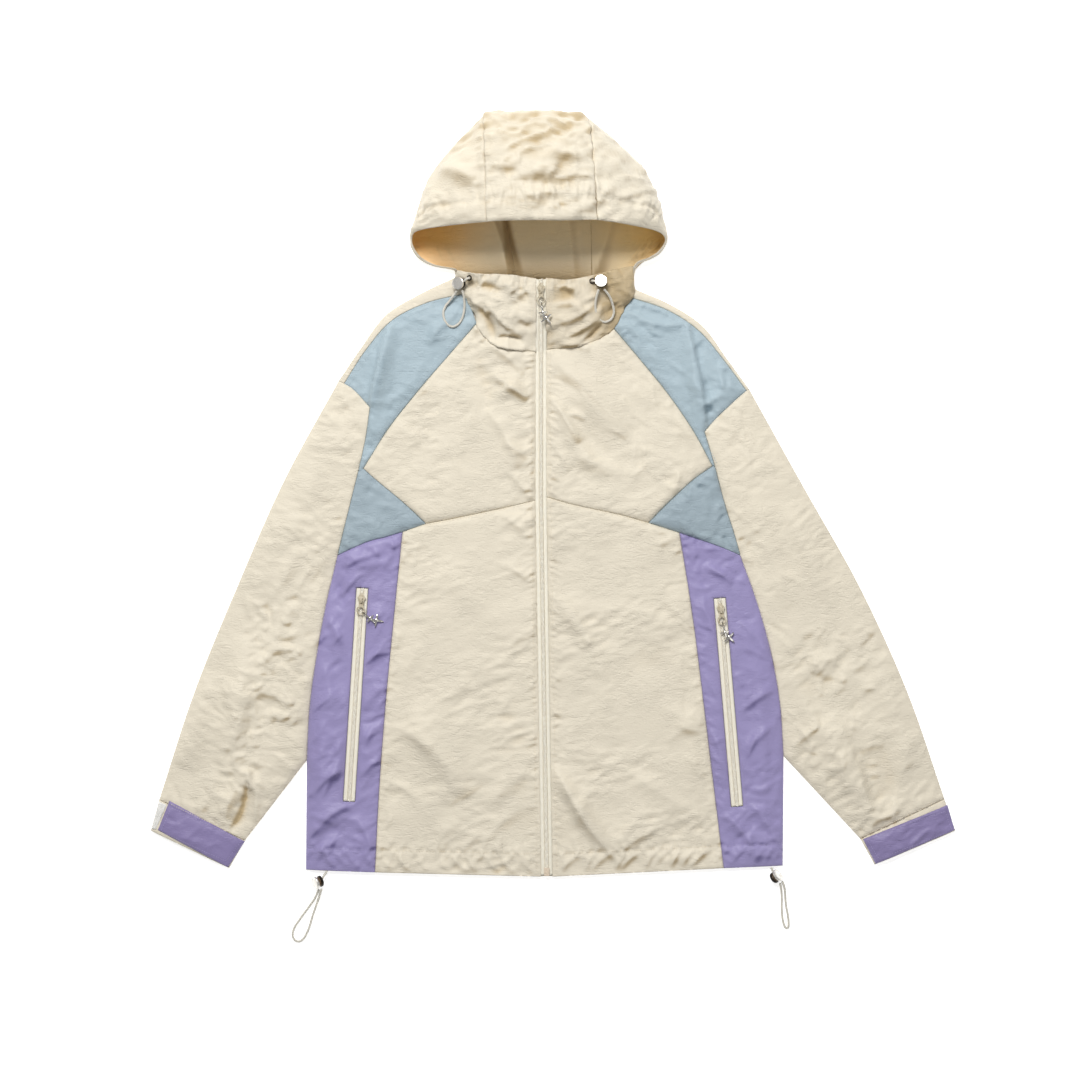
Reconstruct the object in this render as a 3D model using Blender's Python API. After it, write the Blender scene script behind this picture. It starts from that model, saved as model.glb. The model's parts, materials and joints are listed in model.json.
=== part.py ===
"""Hooded windbreaker jacket, zipped up and laid flat on its back.

The wearer's right lies towards -X and the wearer's left towards +X. +Y points from the hem to the hood
and +Z up from the floor. Sizes are written in millimetres on the garment's own scale: x is measured
from the centre front, y upwards from the hem. Every vertex goes through to_world, which turns that
into metres with the origin under the middle of the garment.

The cloth is cut the way a maker cuts it. Landmarks are joined by seams, seams enclose pieces, and each
piece is a thin wall that follows one shared height of the lying cloth, so neighbours meet at a seam.
"""

import math

import bmesh
import bpy
import numpy as np
from mathutils import Matrix, Vector
from mathutils.geometry import delaunay_2d_cdt

# ---------------------------------------------------------------- driving dimensions, millimetres

MILLIMETRE = 0.001
CENTRE_X = 14.5             # middle of the whole garment, cuff to cuff
CENTRE_Y = 460.1            # middle of the whole garment, hem to crown

WALL = 1.5                  # thickness of every cloth wall
GAP = 0.3                   # between pieces that are sewn or lie together
SIDES = {"r": -1.0, "l": 1.0}

EDGE_TOP = 2 * WALL + GAP   # top face of the upper layer where it meets the lower one
LOFT = 3.8                  # how much higher the upper layer lies away from its edges
ROLL = 9.0                  # how fast it gets there
SEAM_DIP = 0.9              # a seam pulls the cloth down
SEAM_DIP_WIDTH = 7.0

SEAM_STEP = 19.0            # spacing of points along a seam
CLOTH_STEP = 27.0           # spacing of points across a piece
CREST_STEP = 17.0           # spacing of points along a fold

ZIP_HALF = 7.2              # half the slot that a zip shows in
ZIP_SWING = 7.0             # the centre front strays this far towards the wearer's left at the hem
CHEST_LEVEL = 452.0         # below this the zip starts to stray
NECK_LEVEL = 631.0
COLLAR_LEVEL = 716.0
COLLAR_TOP_Z = 27.0         # the collar's edge at the zip
ZIP_DROP = 0.5              # zip tape below the cloth beside it

# Landmarks: distance out from the centre front and height above the hem, wearer's right and left.
LANDMARKS = {
    # name             right out, y   left out, y
    "neck_back":       ((102, 720), (111, 706)),
    "collar_corner":   ((100, 727), (110, 732)),
    "neck_seam":       ((90, 700), (108, 695)),
    "neck_point":      ((77, 664), (87, 658)),
    "neck_zip":        ((7.2, 630), (7.2, 632)),
    "collar_zip":      ((7.2, 716), (7.2, 717)),
    "cap_edge":        ((243, 595), (250, 585)),
    "cap_seam":        ((236, 592), (246.5, 583.4)),
    "notch":           ((205, 563), (196, 534)),
    "chest_corner":    ((213, 490), (205.5, 493)),
    "armhole_point":   ((219, 487), (209, 491.5)),
    "underarm":        ((244, 386), (239, 386)),
    "triangle_tip":    ((138, 424), (129, 425)),
    "chest_zip":       ((7.2, 452), (7.2, 456)),
    "panel_top":       ((166, 414), (166, 413)),
    "panel_hem":       ((199, 6), (219, 11)),
    "side_hem":        ((282, 9), (290, 14)),
    "hem_zip":         ((0.2, 1), (14.2, 1)),
    "sleeve_leave":    ((281, 140), (291, 145)),
    "cuff_outer":      ((458, 93), (484, 94)),
    "cuff_inner":      ((355, 44), (383, 46)),
    "cuff_outer_end":  ((468, 56), (497, 56)),
    "cuff_inner_end":  ((374, 11), (400, 15)),
    "pocket_top":      ((214, 347), (214, 335)),
    "pocket_bottom":   ((230, 91), (235, 85)),
}

# Seams: from, to, and how far the seam bows out of the straight line at a quarter, half and three
# quarters of its length, on the wearer's right and left.
SEAMS = {
    # name              from              to                right bows         left bows
    "shoulder_edge":   ("neck_back",      "cap_edge",       (13.5, 21.5, 12), (14.5, 20.5, 10.5)),
    "shoulder_seam":   ("neck_seam",      "cap_seam",       (19, 26.5, 17),   (16, 20, 11.5)),
    "cap_end":         ("cap_edge",       "cap_seam",       (0, 0, 0),        (0, 0, 0)),
    "armhole_cap":     ("cap_seam",       "notch",          (-2, -2, -1),     (-1, -1.5, -1.5)),
    "armhole_front":   ("notch",          "armhole_point",  (-1, -1.5, -1),   (0, 0, 0)),
    "armhole_side":    ("armhole_point",  "underarm",       (0, 0, 0),        (-1, -1, 0)),
    "front_diagonal":  ("neck_point",     "chest_corner",   (3, 5.5, 5.5),    (4, 7, 6)),
    "tail_end":        ("chest_corner",   "armhole_point",  (0, 0, 0),        (0, 0, 0)),
    "triangle_upper":  ("chest_corner",   "triangle_tip",   (0, -1, -1),      (-3, -3, -2)),
    "triangle_inner":  ("triangle_tip",   "panel_top",      (0, 0, 0),        (0, 0, 0)),
    "triangle_outer":  ("panel_top",      "underarm",       (1, 3, 2),        (0.5, 1, 1)),
    "chest_seam":      ("chest_zip",      "triangle_tip",   (-1, -1, -1),     (-1, 0, 1)),
    "panel_seam":      ("panel_top",      "panel_hem",      (2, 3.5, 3),      (2.5, 2, 1)),
    "side_upper":      ("underarm",       "sleeve_leave",   (5, 7, 6),        (8, 11.5, 9)),
    "side_lower":      ("sleeve_leave",   "side_hem",       (0, 0, 0),        (0, 0, 0)),
    "hem_panel":       ("side_hem",       "panel_hem",      (0, 0, 0),        (0, 0, 0)),
    "hem_front":       ("panel_hem",      "hem_zip",        (0, 0, 0),        (0, 0, 0)),
    "neck_join":       ("neck_back",      "neck_seam",      (0, 0, 0),        (0, 0, 0)),
    "neck_side":       ("neck_seam",      "neck_point",     (0, 0, 0),        (0, 0, 0)),
    "neck_front":      ("neck_point",     "neck_zip",       (12, 11, 6),      (7, 7, 4)),
    "zip_upper":       ("neck_zip",       "chest_zip",      (0, 0, 0),        (0, 0, 0)),
    "zip_lower":       ("chest_zip",      "hem_zip",        (0, 0, 0),        (0, 0, 0)),
    "collar_top":      ("collar_corner",  "collar_zip",     (2, 0, -1),       (2, 5, 6)),
    "sleeve_outer":    ("cap_edge",       "cuff_outer",     (13, 14.5, 12),   (8.5, 17.5, 15)),
    "sleeve_inner":    ("sleeve_leave",   "cuff_inner",     (0, 0, 0),        (0, 0, 0)),
    "cuff_seam":       ("cuff_outer",     "cuff_inner",     (0, 0, 0),        (0, 0, 0)),
    "cuff_outer_side": ("cuff_outer",     "cuff_outer_end", (0, 0, 0),        (0, 0, 0)),
    "cuff_inner_side": ("cuff_inner",     "cuff_inner_end", (0, 0, 0),        (0, 0, 0)),
    "cuff_end":        ("cuff_outer_end", "cuff_inner_end", (0, 0, 0),        (0, 0, 0)),
}

# Where the upper layer turns down to the lower one, and where a seam pulls it in.
ROLLED_SEAMS = ("shoulder_edge", "side_upper", "side_lower", "sleeve_outer", "sleeve_inner",
                "cuff_outer_side", "cuff_inner_side")
DIPPED_SEAMS = ("shoulder_seam", "armhole_cap", "armhole_front", "armhole_side", "front_diagonal",
                "triangle_upper", "triangle_inner", "triangle_outer", "chest_seam", "panel_seam",
                "cuff_seam")

# The cut pieces of the upper layer: colour, and the seams all round.
UPPER_PIECES = {
    "shoulder_strip": ("cream", ("shoulder_edge", "cap_end", "shoulder_seam", "neck_join")),
    "front_shoulder": ("blue", ("shoulder_seam", "armhole_cap", "armhole_front", "tail_end",
                                "front_diagonal", "neck_side")),
    "front_chest":    ("cream", ("front_diagonal", "triangle_upper", "chest_seam", "zip_upper",
                                 "neck_front")),
    "front_triangle": ("blue", ("armhole_side", "triangle_outer", "triangle_inner",
                                "triangle_upper", "tail_end")),
    "front_lower":    ("cream", ("triangle_inner", "panel_seam", "hem_front", "zip_lower",
                                 "chest_seam")),
    "side_panel":     ("purple", ("triangle_outer", "side_upper", "side_lower", "hem_panel",
                                  "panel_seam")),
    "sleeve_top":     ("cream", ("sleeve_outer", "cuff_seam", "sleeve_inner", "side_upper",
                                 "armhole_side", "armhole_front", "armhole_cap", "cap_end")),
    "cuff_top":       ("cream", ("cuff_seam", "cuff_outer_side", "cuff_end", "cuff_inner_side")),
}

# The cut pieces of the lower layer, on the floor. The back takes both sides at once.
LOWER_PIECES = {
    "sleeve_under": UPPER_PIECES["sleeve_top"],
    "cuff_under":   UPPER_PIECES["cuff_top"],
}
BACK_SEAMS = ("shoulder_edge", "cap_end", "armhole_cap", "armhole_front", "armhole_side",
              "side_upper", "side_lower", "hem_panel", "hem_front")

# The largest folds of the upper layer: ends, height of the crest (a trough is negative) and its
# reach to the left and to the right of the line from the first end to the second.
FOLDS = {
    # name                  from          to            height  left  right
    "shoulder drape r":    ((-176, 668), (-210, 528),    4.5,   11,    5),
    "shoulder drape l":    ((172, 668), (199, 500),      4.5,    5,   12),
    "cap drape l":         ((196, 640), (226, 560),      3.0,    8,   12),
    "chest pull r":        ((-24, 596), (-66, 566),      4.0,    9,    9),
    "chest pull l":        ((20, 604), (96, 528),        5.5,    9,   12),
    "chest pull low l":    ((14, 556), (78, 474),        4.0,    8,   10),
    "chest hollow l":      ((30, 560), (84, 500),       -1.6,    8,    8),
    "front drop r":        ((-160, 190), (-90, 106),     4.5,    9,   12),
    "front drop l":        ((14, 130), (80, 40),         5.0,    9,   10),
    "front crease l":      ((12, 342), (62, 272),        3.0,    8,    9),
    "front rise l":        ((82, 36), (128, 84),         3.0,    8,    8),
    "front soft r":        ((-120, 380), (-60, 300),     2.4,   14,   14),
    "front soft l":        ((100, 400), (150, 250),      2.4,   14,   14),
    "panel drape r":       ((-258, 250), (-268, 60),     2.6,    9,    8),
    "panel drape l":       ((262, 260), (270, 60),       2.6,    8,    9),
    "sleeve elbow r":      ((-350, 290), (-372, 120),    6.0,   12,   16),
    "sleeve trough r":     ((-366, 170), (-372, 84),    -1.8,    8,    8),
    "sleeve pinch r":      ((-366, 86), (-352, 132),     4.5,    8,    8),
    "sleeve long r":       ((-300, 440), (-350, 320),    3.0,   15,   15),
    "sleeve ridge r":      ((-400, 250), (-428, 130),    3.0,   15,   15),
    "sleeve elbow l":      ((336, 190), (392, 70),       6.0,   14,   13),
    "sleeve trough l":     ((352, 190), (404, 86),      -1.8,    9,    9),
    "sleeve long l":       ((296, 450), (346, 320),      3.0,   15,   15),
    "sleeve ridge l":      ((400, 270), (440, 120),      3.4,   16,   15),
    "sleeve inner l":      ((300, 250), (340, 150),      3.0,   10,   12),
}

# The hood: a rib runs from the face opening over the outside to the fold on the floor and back
# under to the neck. Columns: opening x, y, z; fold x, y; neck x.
HOOD_RIBS = {
    "collar end r":  ((-100.6, 722.5, 4.6), (-102.4, 722.2), -99.5),
    "lip end r":     ((-103, 729, 12),      (-106, 728),     -96),
    "lip r":         ((-128, 734, 13),      (-131, 733),     -90),
    "lip out r":     ((-146, 745, 18),      (-149, 744),     -83),
    "tip r":         ((-154, 762, 28),      (-157, 763),     -76),
    "brim turn r":   ((-146, 771, 42),      (-153, 785),     -66),
    "brim side r":   ((-110, 775, 62),      (-128, 848),     -50),
    "seam r":        ((-63, 778, 78),       (-68, 911),      -29),
    "brow r":        ((-34, 779, 84),       (-36, 917),      -8),
    "brow":          ((0, 779, 86),         (-2, 919),       16),
    "brow l":        ((34, 779, 84),        (30, 917),       38),
    "seam l":        ((67, 780, 78),        (58, 909),       61),
    "brim side l":   ((110, 775, 62),       (124, 846),      74),
    "brim turn l":   ((139, 770, 42),       (147, 788),      83),
    "tip l":         ((148, 762, 28),       (151, 764),      90),
    "lip out l":     ((141, 750, 20),       (144, 749),      95),
    "lip l":         ((129, 742, 17),       (132, 741),      99),
    "lip end l":     ((114, 736, 15),       (117, 735),      103),
    "collar side l": ((107.5, 722, 7),      (111.5, 721),    106),
    "collar end l":  ((109.6, 710, 4.4),    (111.6, 709.5),  108.5),
}
HOOD_PARTS = {
    "hood_side_r": ("collar end r", "seam r"),
    "hood_centre": ("seam r", "seam l"),
    "hood_side_l": ("seam l", "collar end l"),
}
RIB_STEPS = 2               # points from one rib to the next
RIB_ARC = 8                 # points from the opening down to the fold
RIB_UNDER = 4               # points from the fold to the neck
RIB_ROUND = 0.86            # squarer than a quarter ellipse
UNDER_BEND = 0.4            # where the way under the hood bends
UNDER_SWING = 0.45          # and how far it swings towards the crown on the way to the neck
HOOD_HUMP = 7.0             # the crown rises behind the brim
FOLD_Z = 3.2                # height at which the hood turns under
HOOD_SEAM = 0.25            # half the space between two hood pieces

# Metal and cord.
PULL_RISE = 3.6             # hinge of a zip pull above the top of the coil
COIL_RISE = 1.4
LOCK_RADIUS = 7.5
CORD_RADIUS = 1.4
CORD_STEP = 6.0

COLOURS = {
    # name        red, green, blue, roughness, metallic
    "cream":     (0.80, 0.74, 0.60, 0.62, 0.0),
    "blue":      (0.42, 0.53, 0.60, 0.60, 0.0),
    "purple":    (0.34, 0.28, 0.50, 0.50, 0.0),
    "zip":       (0.78, 0.68, 0.56, 0.50, 0.0),
    "enamel":    (0.80, 0.74, 0.62, 0.30, 0.2),
    "silver":    (0.72, 0.72, 0.74, 0.22, 1.0),
    "gunmetal":  (0.20, 0.19, 0.18, 0.35, 1.0),
    "cord":      (0.78, 0.76, 0.68, 0.80, 0.0),
    "hook_tape": (0.85, 0.85, 0.85, 0.75, 0.0),
}


# ---------------------------------------------------------------- curves and places

def to_world(point):
    x, y, z = point
    return ((x - CENTRE_X) * MILLIMETRE, (y - CENTRE_Y) * MILLIMETRE, z * MILLIMETRE)


def landmark(side, name):
    right, left = LANDMARKS[name]
    out, y = right if side == "r" else left
    return np.array((SIDES[side] * out, float(y)))


def smooth_through(points, steps):
    """Points on a smooth curve through the given ones, steps to each stretch."""
    points = [np.asarray(point, float) for point in points]
    first = 2 * points[0] - points[1]
    last = 2 * points[-1] - points[-2]
    knots = [first] + points + [last]
    curve = []
    for i in range(1, len(knots) - 2):
        a, b, c, d = knots[i - 1:i + 3]
        for step in range(steps):
            t = step / steps
            curve.append(0.5 * (2 * b + (c - a) * t + (2 * a - 5 * b + 4 * c - d) * t ** 2
                                + (3 * b - a - 3 * c + d) * t ** 3))
    curve.append(points[-1])
    return np.array(curve)


def evenly(curve, count):
    """The same curve as count + 1 points at equal distances."""
    lengths = np.linalg.norm(np.diff(curve, axis=0), axis=1)
    travelled = np.concatenate(([0.0], np.cumsum(lengths)))
    wanted = np.linspace(0.0, travelled[-1], count + 1)
    return np.stack([np.interp(wanted, travelled, column) for column in curve.T], axis=1)


def seam(side, name):
    """A seam as points in the plan; every piece that it bounds uses these same points."""
    start_name, end_name, right_bows, left_bows = SEAMS[name]
    start, end = landmark(side, start_name), landmark(side, end_name)
    along = end - start
    length = np.linalg.norm(along)
    outward = np.array((-along[1], along[0])) / length * SIDES[side]
    bows = right_bows if side == "r" else left_bows
    quarters = [start + along * q + outward * bow for q, bow in zip((0.25, 0.5, 0.75), bows)]
    curve = smooth_through([start] + quarters + [end], 8)
    return evenly(curve, max(1, round(length / SEAM_STEP)))


def outline(side, names):
    """Seams chained end to end into one closed polygon."""
    chain = [tuple(point) for point in seam(side, names[0])]
    second = seam(side, names[1])
    if min(math.dist(chain[0], second[0]), math.dist(chain[0], second[-1])) < 0.01:
        chain.reverse()
    for name in names[1:]:
        stretch = [tuple(point) for point in seam(side, name)]
        if math.dist(stretch[-1], chain[-1]) < math.dist(stretch[0], chain[-1]):
            stretch.reverse()
        chain.extend(stretch[1:])
    return np.array(chain[:-1])


def distance_to(curve, x, y):
    """Distance from each place (x, y) to a curve of straight stretches."""
    nearest = np.full(np.shape(x), 1e9)
    for a, b in zip(curve[:-1], curve[1:]):
        run = b - a
        t = ((x - a[0]) * run[0] + (y - a[1]) * run[1]) / (run @ run)
        t = np.clip(t, 0.0, 1.0)
        nearest = np.minimum(nearest, np.hypot(x - a[0] - t * run[0], y - a[1] - t * run[1]))
    return nearest


def inside(polygon, x, y):
    within = np.zeros(np.shape(x), bool)
    for (ax, ay), (bx, by) in zip(polygon, np.roll(polygon, -1, axis=0)):
        crosses = (ay > y) != (by > y)
        span = by - ay if by != ay else 1.0
        within ^= crosses & (x < (bx - ax) * (y - ay) / span + ax)
    return within


# ---------------------------------------------------------------- the height of the lying cloth

def fold_height(fold, x, y):
    start, end, height, left_reach, right_reach = fold
    run = np.subtract(end, start)
    length = math.hypot(*run)
    along = ((x - start[0]) * run[0] + (y - start[1]) * run[1]) / length ** 2
    across = ((x - start[0]) * -run[1] + (y - start[1]) * run[0]) / length
    reach = np.where(across > 0, left_reach, right_reach)
    swell = np.clip(4 * along * (1 - along), 0, 1) ** 0.75
    return height * swell * np.exp(-(across / reach) ** 2)


ROLLED_CURVES = [seam(side, name) for side in SIDES for name in ROLLED_SEAMS]
DIPPED_CURVES = [seam(side, name) for side in SIDES for name in DIPPED_SEAMS]


def surface_height(x, y):
    """Top face of the upper layer over any place in the plan."""
    x, y = np.asarray(x, float), np.asarray(y, float)
    to_edge = np.full(x.shape, 1e9)
    for curve in ROLLED_CURVES:
        to_edge = np.minimum(to_edge, distance_to(curve, x, y))
    lifted = 1 - np.exp(-to_edge / ROLL)
    extra = np.full(x.shape, LOFT)
    for curve in DIPPED_CURVES:
        extra -= SEAM_DIP * np.exp(-(distance_to(curve, x, y) / SEAM_DIP_WIDTH) ** 2)
    for fold in FOLDS.values():
        extra += fold_height(fold, x, y)
    return EDGE_TOP + np.maximum(extra, 0.8) * lifted


def surface_normal(x, y):
    step = 0.5
    slope_x = (surface_height(x + step, y) - surface_height(x - step, y)) / (2 * step)
    slope_y = (surface_height(x, y + step) - surface_height(x, y - step)) / (2 * step)
    normal = np.stack([-slope_x, -slope_y, np.ones_like(slope_x)], axis=-1)
    return normal / np.linalg.norm(normal, axis=-1, keepdims=True)


def zip_x(y):
    """Where the centre front lies: straight down to the chest, then straying a little."""
    return ZIP_SWING * max(0.0, CHEST_LEVEL - y) / CHEST_LEVEL


def zip_z(y):
    """Height of the cloth along the centre front, up the collar."""
    rise = min(max((y - NECK_LEVEL) / (COLLAR_LEVEL - NECK_LEVEL), 0.0), 1.0)
    base_y = min(y, NECK_LEVEL)
    base = float(surface_height(zip_x(base_y), base_y))
    return base + (COLLAR_TOP_Z - base) * math.sin(math.pi / 2 * rise)


# ---------------------------------------------------------------- solids

def make_material(name):
    red, green, blue, roughness, metallic = COLOURS[name]
    material = bpy.data.materials.new(name)
    material.use_nodes = True
    shader = material.node_tree.nodes["Principled BSDF"]
    shader.inputs["Base Color"].default_value = (red, green, blue, 1.0)
    shader.inputs["Roughness"].default_value = roughness
    shader.inputs["Metallic"].default_value = metallic
    return material


def add_object(name, data, colour):
    material = bpy.data.materials.get(colour) or make_material(colour)
    data.materials.append(material)
    piece = bpy.data.objects.new(name, data)
    bpy.context.scene.collection.objects.link(piece)
    return piece


def add_solid(name, points, faces, colour, world=True):
    """A closed body from points in millimetres; world=False keeps a piece's own small frame."""
    if world:
        points = [to_world(point) for point in points]
    else:
        points = [tuple(value * MILLIMETRE for value in point) for point in points]
    mesh = bpy.data.meshes.new(name)
    mesh.from_pydata(points, [], [tuple(int(i) for i in face) for face in faces])
    body = bmesh.new()
    body.from_mesh(mesh)
    bmesh.ops.recalc_face_normals(body, faces=body.faces)
    body.to_mesh(mesh)
    body.free()
    mesh.shade_smooth()
    mesh.set_sharp_from_angle(angle=math.radians(40))
    return add_object(name, mesh, colour)


def boundary_of(faces):
    """Boundary edges of a patch of faces, in the faces' own direction."""
    edges = {}
    for face in faces:
        for a, b in zip(face, tuple(face[1:]) + (face[0],)):
            edges[(a, b)] = True
    return [(a, b) for (a, b) in edges if (b, a) not in edges]


def drawn_in(plan, boundary, amount):
    """The plan with its boundary points moved inwards by amount, mitred at corners."""
    moved = plan.copy()
    inward = {}
    for a, b in boundary:
        run = plan[b] - plan[a]
        normal = np.array((-run[1], run[0])) / np.linalg.norm(run)
        inward.setdefault(a, []).append(normal)
        inward.setdefault(b, []).append(normal)
    for index, normals in inward.items():
        total = np.sum(normals, axis=0)
        scale = max(1 + float(normals[0] @ normals[-1]), 0.35)
        moved[index] = plan[index] + total / scale * amount
    return moved


def add_wall(name, outer, inner, faces, colour):
    """A cloth wall between an outer and an inner skin that share one set of faces."""
    count = len(outer)
    skins = [tuple(face) for face in faces]
    skins += [tuple(index + count for index in reversed(face)) for face in faces]
    skins += [(b, a, a + count, b + count) for a, b in boundary_of(faces)]
    return add_solid(name, np.vstack((outer, inner)), skins, colour)


def add_grid_wall(name, outer, inner, colour):
    """A cloth wall from two equal grids of points."""
    rows, columns = outer.shape[:2]
    faces = [(r * columns + c, r * columns + c + 1, (r + 1) * columns + c + 1, (r + 1) * columns + c)
             for r in range(rows - 1) for c in range(columns - 1)]
    return add_wall(name, outer.reshape(-1, 3), inner.reshape(-1, 3), faces, colour)


def grid_normals(grid):
    along_rows = np.gradient(grid, axis=0)
    along_columns = np.gradient(grid, axis=1)
    normal = np.cross(along_columns, along_rows)
    return normal / np.linalg.norm(normal, axis=2, keepdims=True)


def add_plate(name, rim, holes, low, high, colour, world=True):
    """A flat plate with an outline and round or square holes, from low to high."""
    loops = [np.asarray(loop, float) for loop in [rim] + list(holes)]
    plan = np.vstack(loops)
    edges, start = [], 0
    for loop in loops:
        edges += [(start + i, start + (i + 1) % len(loop)) for i in range(len(loop))]
        start += len(loop)
    found = delaunay_2d_cdt([Vector(point) for point in plan], edges, [], 0, 1e-6)
    plan = np.array([tuple(point) for point in found[0]])
    centres = np.array([plan[list(face)].mean(axis=0) for face in found[2]])
    kept = inside(loops[0], centres[:, 0], centres[:, 1])
    for hole in loops[1:]:
        kept &= ~inside(hole, centres[:, 0], centres[:, 1])
    faces = [tuple(face) for face, keep in zip(found[2], kept) if keep]
    top = [(x, y, high) for x, y in plan]
    bottom = [(x, y, low) for x, y in plan]
    count = len(top)
    skins = faces + [tuple(index + count for index in reversed(face)) for face in faces]
    skins += [(b, a, a + count, b + count) for a, b in boundary_of(faces)]
    return add_solid(name, top + bottom, skins, colour, world)


def round_loop(x, y, radius, count):
    angles = [math.tau * i / count for i in range(count)]
    return [(x + radius * math.cos(a), y + radius * math.sin(a)) for a in angles]


# ---------------------------------------------------------------- upper and lower cloth

def pocket_slot(side):
    top, bottom = landmark(side, "pocket_top"), landmark(side, "pocket_bottom")
    run = (bottom - top) / np.linalg.norm(bottom - top)
    across = np.array((-run[1], run[0])) * ZIP_HALF
    right_edge = evenly(np.array((top + across, bottom + across)), 10)
    left_edge = evenly(np.array((bottom - across, top - across)), 10)
    return np.vstack((right_edge, left_edge))


def upper_plan():
    """Points and triangles of the whole upper layer, with every seam as an edge."""
    points, edges = [], []

    def add_chain(chain, closed=False):
        start = len(points)
        points.extend(tuple(point) for point in chain)
        edges.extend((start + i, start + i + 1) for i in range(len(chain) - 1))
        if closed:
            edges.append((start + len(chain) - 1, start))

    seam_names = {name for _, names in UPPER_PIECES.values() for name in names}
    for side in SIDES:
        for name in sorted(seam_names):
            add_chain(seam(side, name))
        add_chain(pocket_slot(side), closed=True)
    fixed = np.array(points)

    loose = []
    for start, end, _, left_reach, right_reach in FOLDS.values():
        run = np.subtract(end, start)
        length = math.hypot(*run)
        across = np.array((-run[1], run[0])) / length
        for offset in (0.0, 1.25 * left_reach, -1.25 * right_reach):
            for place in evenly(np.array((start, end), float), max(2, round(length / CREST_STEP))):
                loose.append((tuple(place + across * offset), 0.36 * CREST_STEP))
    row_height = CLOTH_STEP * math.sqrt(3) / 2
    for row in range(int(760 / row_height)):
        for column in range(int(1040 / CLOTH_STEP)):
            x = -500 + (column + 0.5 * (row % 2)) * CLOTH_STEP
            loose.append(((x, row * row_height), 0.52 * CLOTH_STEP))

    kept = [tuple(point) for point in fixed]
    for place, clearance in loose:
        known = np.array(kept)
        if np.min(np.hypot(known[:, 0] - place[0], known[:, 1] - place[1])) > clearance:
            kept.append(place)
    found = delaunay_2d_cdt([Vector(point) for point in kept], edges, [], 0, 1e-4)
    plan = np.array([tuple(point) for point in found[0]])
    return plan, [tuple(face) for face in found[2]]


def add_upper_pieces():
    plan, triangles = upper_plan()
    centres = np.array([plan[list(face)].mean(axis=0) for face in triangles])
    for side in SIDES:
        slot = pocket_slot(side)
        for name, (colour, seams) in UPPER_PIECES.items():
            chosen = inside(outline(side, seams), centres[:, 0], centres[:, 1])
            chosen &= ~inside(slot, centres[:, 0], centres[:, 1])
            faces = [triangles[i] for i in np.flatnonzero(chosen)]
            used = sorted({index for face in faces for index in face})
            renumber = {old: new for new, old in enumerate(used)}
            faces = [tuple(renumber[index] for index in face) for face in faces]
            shape = drawn_in(plan[used], boundary_of(faces), GAP / 2)
            x, y = shape[:, 0], shape[:, 1]
            outer = np.column_stack((x, y, surface_height(x, y)))
            inner = outer - WALL * surface_normal(x, y)
            add_wall(f"{name}_{side}", outer, inner, faces, colour)


def add_floor_piece(name, polygon, colour):
    """A piece of the lower layer, lying flat on the floor."""
    count = len(polygon)
    area = sum(a[0] * b[1] - b[0] * a[1] for a, b in zip(polygon, np.roll(polygon, -1, axis=0)))
    if area < 0:
        polygon = polygon[::-1]
    rim = [(i, (i + 1) % count) for i in range(count)]
    shape = drawn_in(polygon, rim, GAP / 2)
    add_plate(name, shape, [], 0.0, WALL, colour)


def add_lower_pieces():
    for side in SIDES:
        for name, (colour, seams) in LOWER_PIECES.items():
            add_floor_piece(f"{name}_{side}", outline(side, seams), colour)
    halves = []
    for side in SIDES:
        chain = [tuple(point) for point in seam(side, BACK_SEAMS[0])]
        for name in BACK_SEAMS[1:]:
            chain.extend(tuple(point) for point in seam(side, name)[1:])
        halves.append(chain)
    right, left = halves
    right[-1] = tuple(np.mean((right[-1], left[-1]), axis=0))
    add_floor_piece("back", np.array(right + left[-2::-1]), "cream")


def collar_curves(side):
    """The neck seam and the collar's top edge, point for point, from the side to the zip."""
    names = ("neck_join", "neck_side", "neck_front")
    low = np.vstack([seam(side, names[0])] + [seam(side, name)[1:] for name in names[1:]])
    high = evenly(seam(side, "collar_top"), len(low) - 1)
    return low, high


def add_collar(side):
    """The standing front of the neck: it climbs from the neck seam to the top edge."""
    low, high = collar_curves(side)
    rows, columns = 7, len(low)
    base = surface_height(low[:, 0], low[:, 1])
    corner_z = 15.0 if side == "r" else 19.0
    share = np.linspace(0, 1, columns)
    top = corner_z + (COLLAR_TOP_Z - corner_z) * np.sin(math.pi / 2 * np.minimum(share * 1.6, 1))
    grid = np.zeros((rows, columns, 3))
    for row in range(rows):
        v = row / (rows - 1)
        start = low + (high - low) / np.linalg.norm(high - low, axis=1, keepdims=True) * GAP
        plan = start + (high - start) * v
        gathers = 1.1 * np.sin(share * 9 * math.pi) * v ** 2 * np.sin(math.pi * share)
        grid[row, :, :2] = plan
        grid[row, :, 2] = base + (top - base) * math.sin(math.pi / 2 * v) + gathers
    normal = grid_normals(grid)
    normal *= np.sign(normal[..., 2:3])
    add_grid_wall(f"collar_{side}", grid, grid - WALL * normal, "cream")


# ---------------------------------------------------------------- hood

def neck_line_y(x):
    """The back neck seam on the floor, a hair beyond the back's own edge."""
    right, left = landmark("r", "neck_back"), landmark("l", "neck_back")
    return right[1] + (left[1] - right[1]) * (x - right[0]) / (left[0] - right[0]) + 2 * GAP


def under_path(fold, neck):
    """Points from the fold, along the floor and round inside the opening, to the neck."""
    across = abs(neck[0] - fold[0])
    bend = fold + UNDER_BEND * (neck - fold) + np.array((0.0, UNDER_SWING * across))
    pace = 2 * np.linalg.norm(bend - fold)
    turned = min(2.2 / pace, 0.3)
    shares = [min(0.5 / pace, 0.1)] + list(np.linspace(turned, 1.0, RIB_UNDER + 1))
    heights = [1.0] + [0.0] * (RIB_UNDER + 1)
    return [(*((1 - s) ** 2 * fold + 2 * s * (1 - s) * bend + s ** 2 * neck), z)
            for s, z in zip(shares, heights)]


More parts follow.
